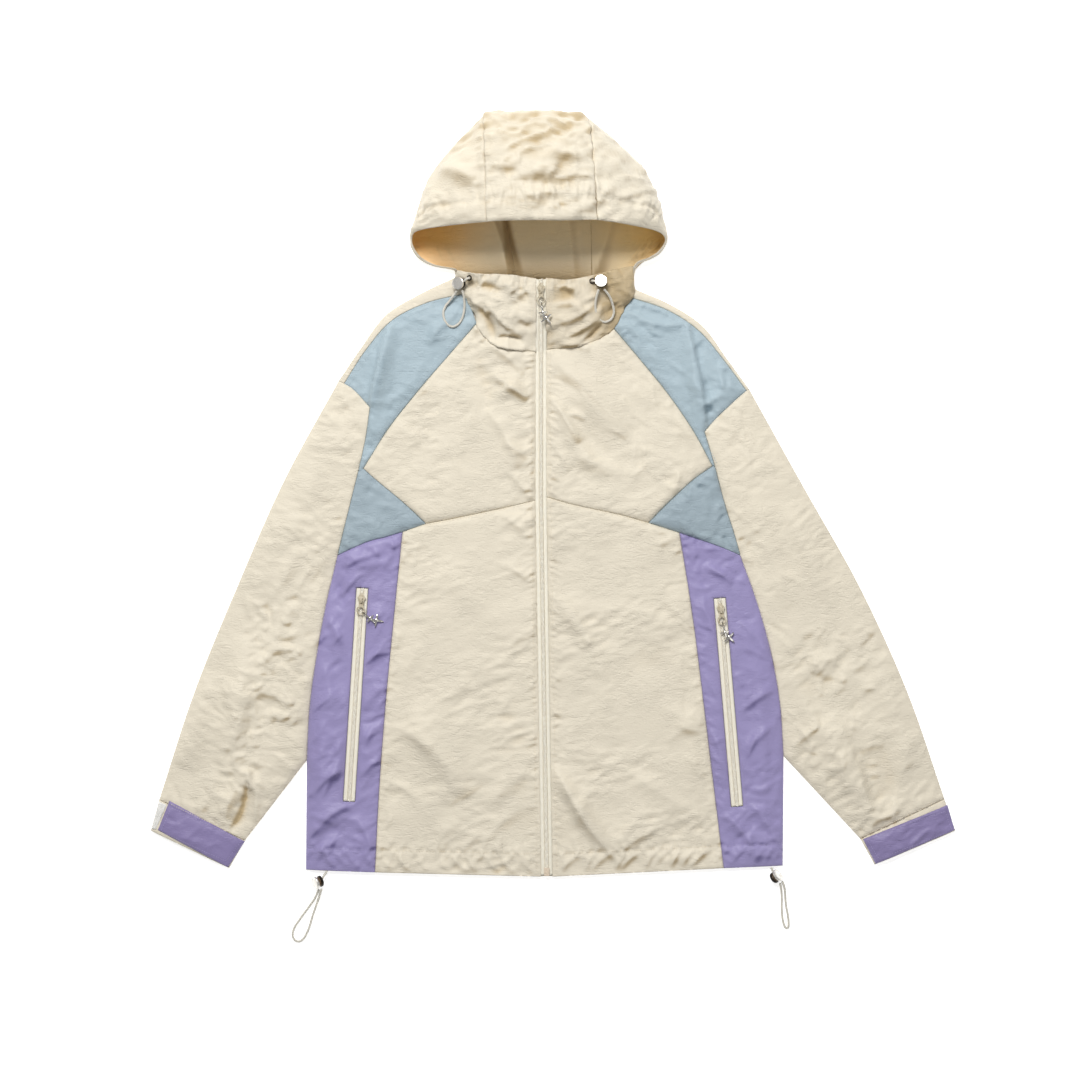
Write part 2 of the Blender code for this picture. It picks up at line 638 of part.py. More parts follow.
def hood_grid():
    """Outer points of the whole hood, rib by rib, and the row at which each named rib stands."""
    opening = smooth_through([row[0] for row in HOOD_RIBS.values()], RIB_STEPS)
    fold = smooth_through([row[1] for row in HOOD_RIBS.values()], RIB_STEPS)
    neck = smooth_through([(row[2], 0.0) for row in HOOD_RIBS.values()], RIB_STEPS)[:, 0]
    ribs = []
    for start, (fold_x, fold_y), neck_x in zip(opening, fold, neck):
        rib = []
        span = math.hypot(fold_x - start[0], fold_y - start[1])
        hump = HOOD_HUMP * min(1.0, span / 120) ** 2
        for step in range(RIB_ARC + 1):
            angle = math.pi / 2 * step / RIB_ARC
            reach = math.sin(angle) ** RIB_ROUND
            drop = math.cos(angle) ** RIB_ROUND if step < RIB_ARC else 0.0
            x = start[0] + (fold_x - start[0]) * reach
            y = start[1] + (fold_y - start[1]) * reach
            top = max(start[2], FOLD_Z + 1.0)
            rib.append((x, y, FOLD_Z + (top - FOLD_Z) * drop + hump * math.sin(2 * angle)))
        rib += under_path(np.array((fold_x, fold_y)), np.array((neck_x, neck_line_y(neck_x))))
        ribs.append(rib)
    rows = {name: index * RIB_STEPS for index, name in enumerate(HOOD_RIBS)}
    return np.array(ribs), rows


def add_hood():
    grid, rows = hood_grid()
    normal = grid_normals(grid)
    under = grid[..., 2] <= 0.0
    normal[under] = (0.0, 0.0, -1.0)
    middle = normal[len(grid) // 2, 0]
    if middle[2] < 0:
        normal[~under] *= -1
    for name, (first, last) in HOOD_PARTS.items():
        part = grid[rows[first]:rows[last] + 1].copy()
        facing = normal[rows[first]:rows[last] + 1]
        for edge, neighbour in ((0, 1), (-1, -2)):
            run = np.gradient(part[edge], axis=0)
            run /= np.linalg.norm(run, axis=1, keepdims=True)
            away = part[neighbour] - part[edge]
            away -= run * np.sum(away * run, axis=1, keepdims=True)
            away /= np.linalg.norm(away, axis=1, keepdims=True)
            part[edge] += away * HOOD_SEAM
        add_grid_wall(name, part, part - WALL * facing, "cream")


# ---------------------------------------------------------------- cuff tabs

TABS = {
    # side: corners outer top, inner top, inner end, outer end (out, y), lift over the cuff
    "r": ((445, 92), (355, 43), (375, 12), (459, 57)),
    "l": ((487, 87), (386, 46), (401, 16), (496, 57)),
}
HOOK_PATCH = ((458, 91), (448.6, 87), (461.6, 57.5), (466.8, 58.5))


def add_laid_on(name, side, corners, across, along, lift, colour):
    """A patch that lies on the upper layer, made from its points and moved out."""
    outer_top, inner_top, inner_end, outer_end = [np.array(corner, float) for corner in corners]
    grid = np.zeros((along + 1, across + 1, 2))
    for row in range(along + 1):
        v = row / along
        start = outer_top + (outer_end - outer_top) * v
        end = inner_top + (inner_end - inner_top) * v
        for column in range(across + 1):
            grid[row, column] = start + (end - start) * column / across
    grid[..., 0] *= SIDES[side]
    x, y = grid[..., 0], grid[..., 1]
    base = np.dstack((x, y, surface_height(x, y)))
    normal = surface_normal(x, y)
    add_grid_wall(name, base + (lift + WALL) * normal, base + lift * normal, colour)


def add_cuffs():
    for side, corners in TABS.items():
        add_laid_on(f"cuff_tab_{side}", side, corners, 9, 3, GAP, "purple")
    add_laid_on("hook_patch_r", "r", HOOK_PATCH, 1, 3, GAP, "hook_tape")


# ---------------------------------------------------------------- zips

HALF_TAPE = ((0.15, COIL_RISE), (1.7, COIL_RISE), (2.5, 0.0), (6.9, 0.0), (6.9, -WALL), (0.15, -WALL))
WHOLE_TAPE = ((-2.5, 0.0), (-1.7, COIL_RISE), (1.7, COIL_RISE), (2.5, 0.0), (6.6, 0.0), (6.6, -WALL),
              (-6.6, -WALL), (-6.6, 0.0))


def add_tape(name, line, section, mirror):
    """A zip tape with its coil: one section carried along the line of the closed zip."""
    line = np.asarray(line, float)
    run = np.gradient(line[:, :2], axis=0)
    across = np.column_stack((-run[:, 1], run[:, 0])) / np.linalg.norm(run, axis=1, keepdims=True)
    points = []
    for place, direction in zip(line, across):
        for out, rise in section:
            x, y = place[:2] + direction * out * mirror
            points.append((x, y, place[2] + rise))
    size = len(section)
    faces = [tuple(range(size))]
    for station in range(len(line) - 1):
        for i in range(size):
            j = (i + 1) % size
            faces.append((station * size + i, station * size + j,
                          (station + 1) * size + j, (station + 1) * size + i))
    faces.append(tuple(range((len(line) - 1) * size, len(line) * size)))
    add_solid(name, points, faces, "zip")


def add_centre_zip():
    levels = list(np.linspace(3.0, CHEST_LEVEL, 15)) + list(np.linspace(CHEST_LEVEL, NECK_LEVEL, 7)[1:])
    levels += list(np.linspace(NECK_LEVEL, COLLAR_LEVEL - 1.0, 9)[1:])
    line = [(zip_x(y), y, zip_z(y) - ZIP_DROP) for y in levels]
    add_tape("zip_tape_r", line, HALF_TAPE, 1.0)
    add_tape("zip_tape_l", line, HALF_TAPE, -1.0)


def pocket_line(side):
    top, bottom = landmark(side, "pocket_top"), landmark(side, "pocket_bottom")
    run = (bottom - top) / np.linalg.norm(bottom - top)
    line = evenly(np.array((bottom - run * 0.6, top + run * 0.6)), 12)
    heights = surface_height(line[:, 0], line[:, 1]) - ZIP_DROP
    return np.column_stack((line, heights))


def add_profile_solid(name, profile, low_x, high_x, colour):
    """A solid whose side view is the profile (y, z), from low_x to high_x."""
    count = len(profile)
    points = [(x, y, z) for x in (low_x, high_x) for y, z in profile]
    faces = [tuple(range(count)), tuple(range(2 * count - 1, count - 1, -1))]
    faces += [(i, i + count, (i + 1) % count + count, (i + 1) % count) for i in range(count)]
    return add_solid(name, points, faces, colour, world=False)


def join_bodies(piece, others):
    """Union of overlapping solids into one body."""
    for other in others:
        union = piece.modifiers.new("union", "BOOLEAN")
        union.operation = "UNION"
        union.object = other
        other.hide_render = True
        other.display_type = "WIRE"
    return piece


SLIDER_TOP = -1.5           # top of the slider's plate, below the hinge
SLIDER_PLATE = 1.7
BRIDGE_PROFILE = ((-3.4, -1.9), (-3.4, 1.3), (-2.6, 2.1), (2.6, 2.1), (3.4, 1.3), (3.4, -1.9),
                  (1.7, -1.9), (1.7, 1.1), (-1.7, 1.1), (-1.7, -1.9))
SLIDER_OUTLINE = ((-3.0, -5.6), (3.0, -5.6), (4.6, -1.5), (5.0, 3.0), (4.2, 9.4), (-4.2, 9.4),
                  (-5.0, 3.0), (-4.6, -1.5))
PULL_PITCH = math.radians(2)
RING_Y = -12.0
RING_RADIUS = 5.4
RING_HOLE = 3.5
LINK_RADIUS = 1.9


def pull_outline():
    """The pull from above: two short arms that widen into a round eye."""
    turn = math.radians(38)
    eye = [(RING_RADIUS * math.sin(a), RING_Y + RING_RADIUS * math.cos(a))
           for a in np.linspace(turn, math.tau - turn, 17)]
    return [(-2.8, 0.75), (2.8, 0.75), (2.9, -3.6)] + eye + [(-2.9, -3.6)]


def star_points(reach_x, reach_y, reach_z, waist):
    """A six-pointed jack: tips along each axis and a small waist between them."""
    tips = [(reach_x, 0, 0), (-reach_x, 0, 0), (0, reach_y, 0), (0, -reach_y, 0), (0, 0, reach_z),
            (0, 0, -reach_z)]
    hollows = [(sx * waist, sy * waist, sz * waist) for sx in (1, -1) for sy in (1, -1)
               for sz in (1, -1)]
    faces = []
    for tip, (axis, sign) in enumerate(((0, 1), (0, -1), (1, 1), (1, -1), (2, 1), (2, -1))):
        corners = [i for i, hollow in enumerate(hollows) if hollow[axis] * sign > 0]
        others = [k for k in range(3) if k != axis]
        corners.sort(key=lambda i: math.atan2(hollows[i][others[1]], hollows[i][others[0]]))
        faces += [(tip, 6 + corners[i], 6 + corners[(i + 1) % 4]) for i in range(4)]
    return tips + hollows, faces


def add_ring(name, radius, thickness, colour):
    """A round wire ring about the X axis."""
    around, section = 14, 6
    points = []
    for i in range(around):
        a = math.tau * i / around
        for j in range(section):
            b = math.tau * j / section
            out = radius + thickness * math.cos(b)
            points.append((thickness * math.sin(b), out * math.cos(a), out * math.sin(a)))
    faces = [(i * section + j, i * section + (j + 1) % section,
              (i + 1) % around * section + (j + 1) % section, (i + 1) % around * section + j)
             for i in range(around) for j in range(section)]
    return add_solid(name, points, faces, colour, world=False)


def add_zip_pull(name, place, heading, pitch, charm_turn):
    """A slider on its coil, and on its bridge a pull with a jump ring and a star charm."""
    x, y, z = place
    pivot = bpy.data.objects.new(f"{name}_hinge", None)
    bpy.context.scene.collection.objects.link(pivot)
    pivot.location = to_world((x, y, z))
    pivot.rotation_euler = (pitch, 0.0, heading)

    slider = add_plate(f"{name}_slider", SLIDER_OUTLINE, [], SLIDER_TOP - SLIDER_PLATE, SLIDER_TOP,
                       "enamel", world=False)
    bridge = add_profile_solid(f"{name}_bridge", BRIDGE_PROFILE, -1.1, 1.1, "enamel")
    join_bodies(slider, [bridge])

    slot = [(-1.7, -0.75), (1.7, -0.75), (1.7, -4.6), (-1.7, -4.6)]
    hole = round_loop(0.0, RING_Y - 0.2, RING_HOLE, 12)
    pull = add_plate(f"{name}_pull", pull_outline(), [slot, hole], -0.65, 0.65, "enamel", world=False)
    ring = add_ring(f"{name}_ring", LINK_RADIUS, 0.42, "gunmetal")
    turned = Matrix.Rotation(charm_turn, 4, "Z")
    rim = turned @ Vector((0.0, -(RING_HOLE + RING_RADIUS) / 2, 0.0))
    ring.location = (rim + Vector((0.0, RING_Y - 0.1, 0.0))) * MILLIMETRE
    ring.rotation_euler = (0.0, 0.0, charm_turn)

    points, faces = star_points(7.6, 8.6, 1.7, 1.15)
    star = add_solid(f"{name}_star", points, faces, "silver", world=False)
    points, faces = star_points(5.6, 7.8, 1.6, 0.95)
    small_star = add_solid(f"{name}_small_star", points, faces, "silver", world=False)
    reach = turned @ Vector((3.4, -17.5, 0.0))
    star.location = (rim + reach + Vector((0.0, RING_Y, 0.0))) * MILLIMETRE
    star.rotation_euler = (0.0, 0.0, charm_turn + math.radians(30))
    under_link = turned @ Vector((0.0, -10.6, 0.0))
    small_star.location = (rim + under_link + Vector((0.0, RING_Y, 0.3))) * MILLIMETRE
    small_star.rotation_euler = (0.0, 0.0, charm_turn)
    join_bodies(star, [small_star])

    for piece in (slider, bridge):
        piece.parent = pivot
    swing = bpy.data.objects.new(f"{name}_rest", None)
    bpy.context.scene.collection.objects.link(swing)
    swing.parent = pivot
    swing.rotation_euler = (PULL_PITCH, 0.0, 0.0)
    for piece in (pull, ring, star, small_star):
        piece.parent = swing


def add_zips():
    add_centre_zip()
    slider_y = 702.0
    slope = math.atan2(zip_z(slider_y + 5) - zip_z(slider_y - 5), 10.0)
    centre = (zip_x(slider_y), slider_y, zip_z(slider_y) - ZIP_DROP + COIL_RISE + PULL_RISE)
    add_zip_pull("main", centre, 0.0, slope, math.radians(8))
    box_x, low_y, high_y = zip_x(7), 2.5, 12.0
    box_z = zip_z(high_y) - ZIP_DROP + COIL_RISE + GAP
    box_plan = [(box_x + x, y) for x, y in ((-3.2, low_y), (3.2, low_y), (3.2, high_y), (-3.2, high_y))]
    add_plate("zip_box", box_plan, [], box_z, box_z + 1.4, "zip")
    for side, charm_turn in (("r", math.radians(52)), ("l", math.radians(10))):
        line = pocket_line(side)
        add_tape(f"pocket_zip_{side}", line, WHOLE_TAPE, 1.0)
        run = line[-1] - line[0]
        run /= np.linalg.norm(run)
        spot = line[-1] - run * 14.0
        heading = math.atan2(-run[0], run[1])
        height = float(np.interp(spot[1], line[:, 1], line[:, 2])) + COIL_RISE + PULL_RISE
        add_zip_pull(f"pocket_{side}", (spot[0], spot[1], height), heading, 0.0, charm_turn)


# ---------------------------------------------------------------- cord locks, eyelets and cords

LOCK_PROFILE = ((0.0, 0.0), (6.2, 0.0), (6.8, 0.6), (6.8, 2.6), (5.4, 3.2), (5.4, 6.0), (6.6, 6.4),
                (7.5, 7.0), (7.5, 8.6), (7.0, 9.2), (0.0, 9.2))
LOCKS = {
    # name         colour      x, y, z of the foot       turned about X, Y and Z, degrees
    "hood_lock_r": ("silver", (-96, 711, 12.6), (0, -24, 0)),
    "hood_lock_l": ("silver", (72, 711, 26.0), (0, 0, 0)),
    "hem_lock_r":  ("gunmetal", (-263.2, -3.9, 6.2), (60, 0, -74)),
    "hem_lock_l":  ("gunmetal", (278.4, -1.0, 6.2), (60, 0, 130)),
}
EYELETS = {
    # name     place              turned about X, Y and Z, degrees
    "eyelet_r": ((-85.5, 717.0, 20.4), (0, -22, 0)),
    "eyelet_l": ((61, 713, 26.3), (0, 0, 0)),
}

# Routes of the cord loops, from one hole of the lock round the loop and back: x, y, z.
CORDS = {
    "hood_cord_r": ((-100.5, 702.4, 15.6), (-103.5, 698, 12.4), (-109, 691, 9.4), (-114.5, 684, 8.6),
                    (-117, 676, 8.7), (-115, 667, 8.8), (-110, 661, 8.8), (-104, 660, 8.7),
                    (-98, 664, 8.6), (-94, 671, 8.8), (-92, 680, 9.4), (-91.6, 689, 11.6),
                    (-92.6, 697, 15.0), (-94, 702.4, 17.6)),
    "hood_cord_l": ((68.6, 702.4, 30.6), (66.5, 696, 28.6), (65, 688, 25.2), (65, 680, 22.4),
                    (67, 672, 19.6), (71, 667, 17.2), (76, 665, 15.2), (82, 667, 14.4),
                    (86, 672, 14.8), (87, 679, 16.6), (85, 687, 20.0), (81.5, 695, 25.2),
                    (75.4, 702.4, 30.6)),
    "hem_cord_r": ((-266, -14.5, 8.2), (-268.5, -19.5, 5.6), (-273, -28, 2.4), (-281, -39, 1.6),
                   (-289, -50, 1.6), (-295.5, -60, 1.6), (-298, -69, 1.6), (-294.5, -76, 1.6),
                   (-288.5, -76.5, 1.6), (-283, -71, 1.6), (-278, -60, 1.6), (-274.5, -48, 1.6),
                   (-270.5, -36, 1.6), (-267.2, -27, 2.4), (-264.6, -19, 5.6), (-262.8, -13.6, 8.2)),
    "hem_cord_l": ((286.2, -6.8, 8.2), (287.4, -12, 6.2), (288.2, -18, 3.8), (288.6, -26, 2.0),
                   (288.6, -36, 1.6), (289.2, -46, 1.6), (290.8, -55, 1.6), (293.4, -60.5, 1.6),
                   (296.4, -60, 1.6), (297, -54, 1.6), (296, -45, 1.6), (294.2, -36, 1.6),
                   (293, -26, 2.0), (292.4, -17, 4.0), (291.2, -10, 6.6), (288.8, -4.6, 8.4)),
}


def add_lock(name, colour, foot, turns):
    """A cord lock: a drum turned about its own axis, with a flat cap."""
    profile = LOCK_PROFILE
    count = 14
    points = [(0.0, 0.0, profile[0][1]), (0.0, 0.0, profile[-1][1])]
    rings = profile[1:-1]
    for radius, height in rings:
        points += [(px, py, height) for px, py in round_loop(0.0, 0.0, radius, count)]
    faces = []
    for i in range(count):
        j = (i + 1) % count
        faces.append((0, 2 + j, 2 + i))
        last = 2 + (len(rings) - 1) * count
        faces.append((1, last + i, last + j))
        for ring in range(len(rings) - 1):
            low, high = 2 + ring * count, 2 + (ring + 1) * count
            faces.append((low + i, low + j, high + j, high + i))
    lock = add_solid(name, points, faces, colour, world=False)
    lock.location = to_world(foot)
    lock.rotation_euler = [math.radians(turn) for turn in turns]


def add_cord(name, route):
    curve = smooth_through(route, 6)
    length = np.linalg.norm(np.diff(curve, axis=0), axis=1).sum()
    points = evenly(curve, round(length / CORD_STEP))
    data = bpy.data.curves.new(name, "CURVE")
    data.dimensions = "3D"
    data.bevel_depth = CORD_RADIUS * MILLIMETRE
    data.bevel_resolution = 2
    data.use_fill_caps = True
    spline = data.splines.new("POLY")
    spline.points.add(len(points) - 1)
    for target, point in zip(spline.points, points):
        target.co = (*to_world(point), 1.0)
    add_object(name, data, "cord")


def add_trims():
    for name, (colour, foot, turns) in LOCKS.items():
        add_lock(name, colour, foot, turns)
    for name, (place, turns) in EYELETS.items():
        ring = add_plate(name, round_loop(0, 0, 3.6, 14), [round_loop(0, 0, 1.8, 10)], 0.0, 0.9,
                         "gunmetal", world=False)
        ring.location = to_world(place)
        ring.rotation_euler = [math.radians(turn) for turn in turns]
    for name, route in CORDS.items():
        add_cord(name, route)


# ---------------------------------------------------------------- the jacket

def main():
    for item in list(bpy.data.objects):
        bpy.data.objects.remove(item)
    add_upper_pieces()
    add_lower_pieces()
    for side in SIDES:
        add_collar(side)
    add_hood()
    add_cuffs()
    add_zips()
    add_trims()


main()
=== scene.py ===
# %% [markdown]
# # A hooded windbreaker, laid flat on its back
#
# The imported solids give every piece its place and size. This lesson dresses them: thin crumpled nylon for
# the cut pieces, coiled zips, turned metal, and elastic cord. Everything stays in one frame, in metres.

# %% Load the fixed frame
import json
import math
import bpy
import numpy as np
from mathutils import Matrix, Vector
from mathutils.bvhtree import BVHTree
from mathutils.geometry import delaunay_2d_cdt

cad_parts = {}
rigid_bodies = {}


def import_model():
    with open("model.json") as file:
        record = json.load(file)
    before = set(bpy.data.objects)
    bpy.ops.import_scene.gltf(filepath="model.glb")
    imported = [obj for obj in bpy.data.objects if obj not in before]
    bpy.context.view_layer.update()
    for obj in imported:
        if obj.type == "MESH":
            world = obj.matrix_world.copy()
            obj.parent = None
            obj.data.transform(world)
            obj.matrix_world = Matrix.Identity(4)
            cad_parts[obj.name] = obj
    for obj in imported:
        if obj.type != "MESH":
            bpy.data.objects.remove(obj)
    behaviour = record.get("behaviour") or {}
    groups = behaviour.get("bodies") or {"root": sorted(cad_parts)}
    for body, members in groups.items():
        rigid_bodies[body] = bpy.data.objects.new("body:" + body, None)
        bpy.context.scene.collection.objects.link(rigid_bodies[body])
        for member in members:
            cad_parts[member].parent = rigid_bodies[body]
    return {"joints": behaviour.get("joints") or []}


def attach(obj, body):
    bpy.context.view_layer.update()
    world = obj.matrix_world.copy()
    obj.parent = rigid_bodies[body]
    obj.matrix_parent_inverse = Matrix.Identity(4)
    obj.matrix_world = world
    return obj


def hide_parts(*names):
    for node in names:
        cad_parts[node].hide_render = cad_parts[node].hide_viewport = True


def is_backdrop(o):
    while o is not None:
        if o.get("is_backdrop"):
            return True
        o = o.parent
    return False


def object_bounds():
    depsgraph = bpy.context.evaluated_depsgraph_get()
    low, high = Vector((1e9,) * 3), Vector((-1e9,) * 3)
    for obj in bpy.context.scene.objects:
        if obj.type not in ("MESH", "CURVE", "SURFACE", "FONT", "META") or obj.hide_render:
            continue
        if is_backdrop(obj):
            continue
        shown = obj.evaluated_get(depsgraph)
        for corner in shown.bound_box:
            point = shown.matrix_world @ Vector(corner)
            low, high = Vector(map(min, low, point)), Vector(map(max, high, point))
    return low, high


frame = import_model()
solid_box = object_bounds()
print("solids", [round(side * 1000) for side in solid_box[1] - solid_box[0]], "mm")

# %% [markdown]
# ## Units
#
# A pattern cutter works in millimetres from the centre front and from the hem, so every table here does
# too. One function turns those places into the frame's metres.

# %% Garment millimetres into metres
MM = 0.001  # one millimetre, in metres
CENTRE_X = 14.5
CENTRE_Y = 460.1
SIDES = {"r": -1.0, "l": 1.0}


def to_world(points):
    points = np.asarray(points, float)
    return (points - np.array((CENTRE_X, CENTRE_Y, 0.0))) * MM


# %% [markdown]
# ## The camera
#
# The jacket lies on the floor and is looked at from straight above with a long lens, which keeps the
# sleeves from leaning outwards.

# %% Place the camera
CAMERA_PLACE = (-0.0157, -0.0557, 3.6)


def add_camera():
    bpy.ops.object.camera_add(location=CAMERA_PLACE, rotation=(0.0, 0.0, 0.0))
    camera = bpy.context.active_object
    camera.data.lens = 100.0
    camera.data.sensor_width = 36.0
    camera.data.clip_end = 30.0
    bpy.context.scene.camera = camera
    return camera


camera = add_camera()
print("camera", round(camera.location.z, 2), "m above the floor")

# %% [markdown]
# ## Wires for shader maths
#
# A material is a small net of nodes. Writing each sum as a Python expression is easier to read than a list
# of nodes and links, so a wire wraps a socket and each operator adds the Math node that it stands for.

# %% Wires and finishes
class Wire:
    """A number that varies over a surface."""

    def __init__(self, finish, socket):
        self.finish = finish
        self.socket = socket

    def math(self, operation, *values):
        return self.finish.node("ShaderNodeMath", {"operation": operation}, dict(enumerate(values)))

    def __add__(self, other):
        return self.math("ADD", self, other)

    def __radd__(self, other):
        return self.math("ADD", other, self)

    def __sub__(self, other):
        return self.math("SUBTRACT", self, other)

    def __rsub__(self, other):
        return self.math("SUBTRACT", other, self)

    def __mul__(self, other):
        return self.math("MULTIPLY", self, other)

    def __rmul__(self, other):
        return self.math("MULTIPLY", other, self)

    def __abs__(self):
        return self.math("ABSOLUTE", self)


class Finish:
    """One material. node() adds any node: its type, its settings, and what goes into its sockets."""

    def __init__(self, name, roughness=0.5, metallic=0.0, sheen=0.0):
        self.material = bpy.data.materials.new(name)
        self.material.use_nodes = True
        self.tree = self.material.node_tree
        self.shader = self.tree.nodes["Principled BSDF"]
        self.put("Roughness", roughness)
        self.put("Metallic", metallic)
        self.put("Sheen Weight", sheen)

    def feed(self, socket, value):
        if isinstance(value, Wire):
            self.tree.links.new(value.socket, socket)
        else:
            socket.default_value = value

    def put(self, name, value):
        self.feed(self.shader.inputs[name], value)

    def node(self, kind, settings=None, inputs=None, out=0):
        node = self.tree.nodes.new(kind)
        for name, value in (settings or {}).items():
            setattr(node, name, value)
        for name, value in (inputs or {}).items():
            self.feed(node.inputs[name], value)
        return Wire(self, node.outputs[out])

    def places(self):
        return self.node("ShaderNodeTexCoord", out="Object")

    def stretched(self, scale, turn=0.0):
        settings = {"Vector": self.places(), "Scale": scale, "Rotation": (0.0, 0.0, turn)}
        return self.node("ShaderNodeMapping", {"vector_type": "TEXTURE"}, settings)

    def noise(self, scale, detail=2.0, roughness=0.5, distortion=0.0, vector=None):
        inputs = {"Vector": vector or self.places(), "Scale": scale, "Detail": detail,
                  "Roughness": roughness, "Distortion": distortion}
        return self.node("ShaderNodeTexNoise", None, inputs)

    def attribute(self, name):
        return self.node("ShaderNodeAttribute", {"attribute_name": name}, out="Fac")

    def across_and_along(self, vector):
        """The first two parts of a place, each as a wire."""
        across = self.node("ShaderNodeSeparateXYZ", None, {"Vector": vector}, out="X")
        return across, Wire(self, across.socket.node.outputs["Y"])

    def blend(self, share, first, second):
        settings = {"data_type": "RGBA", "clamp_factor": True}
        return self.node("ShaderNodeMix", settings, {0: share, 6: first, 7: second}, out=2)

    def band(self, value, low, high, to_low=0.0, to_high=1.0):
        inputs = {0: value, 1: low, 2: high, 3: to_low, 4: to_high}
        return self.node("ShaderNodeMapRange", {"interpolation_type": "SMOOTHSTEP"}, inputs)

    def colour(self, value):
        self.put("Base Color", value)

    def rough(self, value, low, high, to_low, to_high):
        self.put("Roughness", self.band(value, low, high, to_low, to_high))

    def bump(self, height, depth):
        inputs = {"Height": height, "Distance": depth, "Strength": 1.0}
        self.put("Normal", self.node("ShaderNodeBump", None, inputs))


def linear(code):
    """A colour written as six hex digits, as the shader wants it."""
    parts = [int(code[i:i + 2], 16) / 255 for i in (0, 2, 4)]
    return tuple(c / 12.92 if c <= 0.04045 else ((c + 0.055) / 1.055) ** 2.4 for c in parts) + (1.0,)


def tinted(colour, amount):
    return tuple(min(channel * amount, 1.0) for channel in colour[:3]) + (1.0,)


# %% [markdown]
# ## Elastic cord
#
# The loops at the hood and hem are thin round elastic with a braided sleeve. A braid is two sets of threads
# that wind round in opposite directions, so the finish adds two slanting waves in the tube's own UV map:
# one unit round the cord, one unit for each millimetre along it.

# %% The braided finish
def cord_finish():
    finish = Finish("elastic_cord", roughness=0.82, sheen=0.25)
    around, along = finish.across_and_along(finish.node("ShaderNodeUVMap", {"uv_map": "along"}))
    right_hand = around.math("SINE", (around * 6.0 + along * 1.1) * math.tau)
    left_hand = around.math("SINE", (around * 6.0 - along * 1.1) * math.tau)
    weave = right_hand * left_hand
    fuzz = finish.noise(1500.0)
    shade = finish.band(weave + fuzz * 0.4, -0.9, 1.1)
    finish.colour(finish.blend(shade, linear("cfc9ba"), linear("f4f0e4")))
    finish.bump(weave * 0.5 + fuzz * 0.3, 0.00035)
    return finish


CORD_FINISH = cord_finish()

# %% [markdown]
# ## Cord loops
#
# Each loop leaves its lock, hangs or lies on the cloth or floor, and comes back to the lock. A tube swept
# along a smooth curve keeps a round section at every bend, so the route is smoothed first and rings are
# then carried along it, each one turned only as far as the route turns.

# %% Routes and the tube
CORD_RADIUS = 1.4
CORD_ROUTES = {
    "hood_cord_r": (
        (-100.5, 702.4, 15.6), (-103.5, 698, 12.4), (-109, 691, 9.4), (-114.5, 684, 8.6),
        (-117, 676, 8.7), (-115, 667, 8.8), (-110, 661, 8.8), (-104, 660, 8.7), (-98, 664, 8.6),
        (-94, 671, 8.8), (-92, 680, 9.4), (-91.6, 689, 11.6), (-92.6, 697, 15.0), (-94, 702.4, 17.6)),
    "hood_cord_l": (
        (68.6, 702.4, 30.6), (66.5, 696, 28.6), (65, 688, 25.2), (65, 680, 22.4), (67, 672, 19.6),
        (71, 667, 17.2), (76, 665, 15.2), (82, 667, 14.4), (86, 672, 14.8), (87, 679, 16.6),
        (85, 687, 20.0), (81.5, 695, 25.2), (75.4, 702.4, 30.6)),
    "hem_cord_r": (
        (-266, -14.5, 8.2), (-268.5, -19.5, 5.6), (-273, -28, 2.4), (-281, -39, 1.6), (-289, -50, 1.6),
        (-295.5, -60, 1.6), (-298, -69, 1.6), (-294.5, -76, 1.6), (-288.5, -76.5, 1.6), (-283, -71, 1.6),
        (-278, -60, 1.6), (-274.5, -48, 1.6), (-270.5, -36, 1.6), (-267.2, -27, 2.4), (-264.6, -19, 5.6),
        (-262.8, -13.6, 8.2)),
    "hem_cord_l": (
        (286.2, -6.8, 8.2), (287.4, -12, 6.2), (288.2, -18, 3.8), (288.6, -26, 2.0), (288.6, -36, 1.6),
        (289.2, -46, 1.6), (290.8, -55, 1.6), (293.4, -60.5, 1.6), (296.4, -60, 1.6), (297, -54, 1.6),
        (296, -45, 1.6), (294.2, -36, 1.6), (293, -26, 2.0), (292.4, -17, 4.0), (291.2, -10, 6.6),
        (288.8, -4.6, 8.4)),
}


def smooth_through(points, steps):
    """Points on a smooth curve through the given ones, steps to each stretch."""
    points = [np.asarray(point, float) for point in points]
    knots = [2 * points[0] - points[1]] + points + [2 * points[-1] - points[-2]]
    curve = []
    for i in range(1, len(knots) - 2):
        a, b, c, d = knots[i - 1:i + 3]
        for step in range(steps):
            t = step / steps
            curve.append(0.5 * (2 * b + (c - a) * t + (2 * a - 5 * b + 4 * c - d) * t ** 2
                                + (3 * b - a - 3 * c + d) * t ** 3))
    curve.append(points[-1])
    return np.array(curve)


def travelled_along(curve):
    """How far along the curve each of its points lies."""
    return np.concatenate(([0.0], np.cumsum(np.linalg.norm(np.diff(curve, axis=0), axis=1))))


def evenly(curve, count):
    """The same curve as count + 1 points at equal distances."""
    travelled = travelled_along(curve)
    wanted = np.linspace(0.0, travelled[-1], count + 1)
    return np.stack([np.interp(wanted, travelled, column) for column in curve.T], axis=1)


def length_of(curve):
    return float(np.linalg.norm(np.diff(curve, axis=0), axis=1).sum())


def unit(rows):
    """Each row of a table, made one long."""
    return rows / np.linalg.norm(rows, axis=1, keepdims=True)


def add_piece(name, points, faces, finish, slot=None, body="jacket"):
    """A new mesh from garment millimetres, with its finish and body. The slot is not used."""
    mesh = bpy.data.meshes.new(name)
    mesh.from_pydata(to_world(points).tolist(), [], faces)
    mesh.shade_smooth()
    mesh.materials.append(finish.material)
    piece = bpy.data.objects.new(name, mesh)
    bpy.context.scene.collection.objects.link(piece)
    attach(piece, body)
    return piece


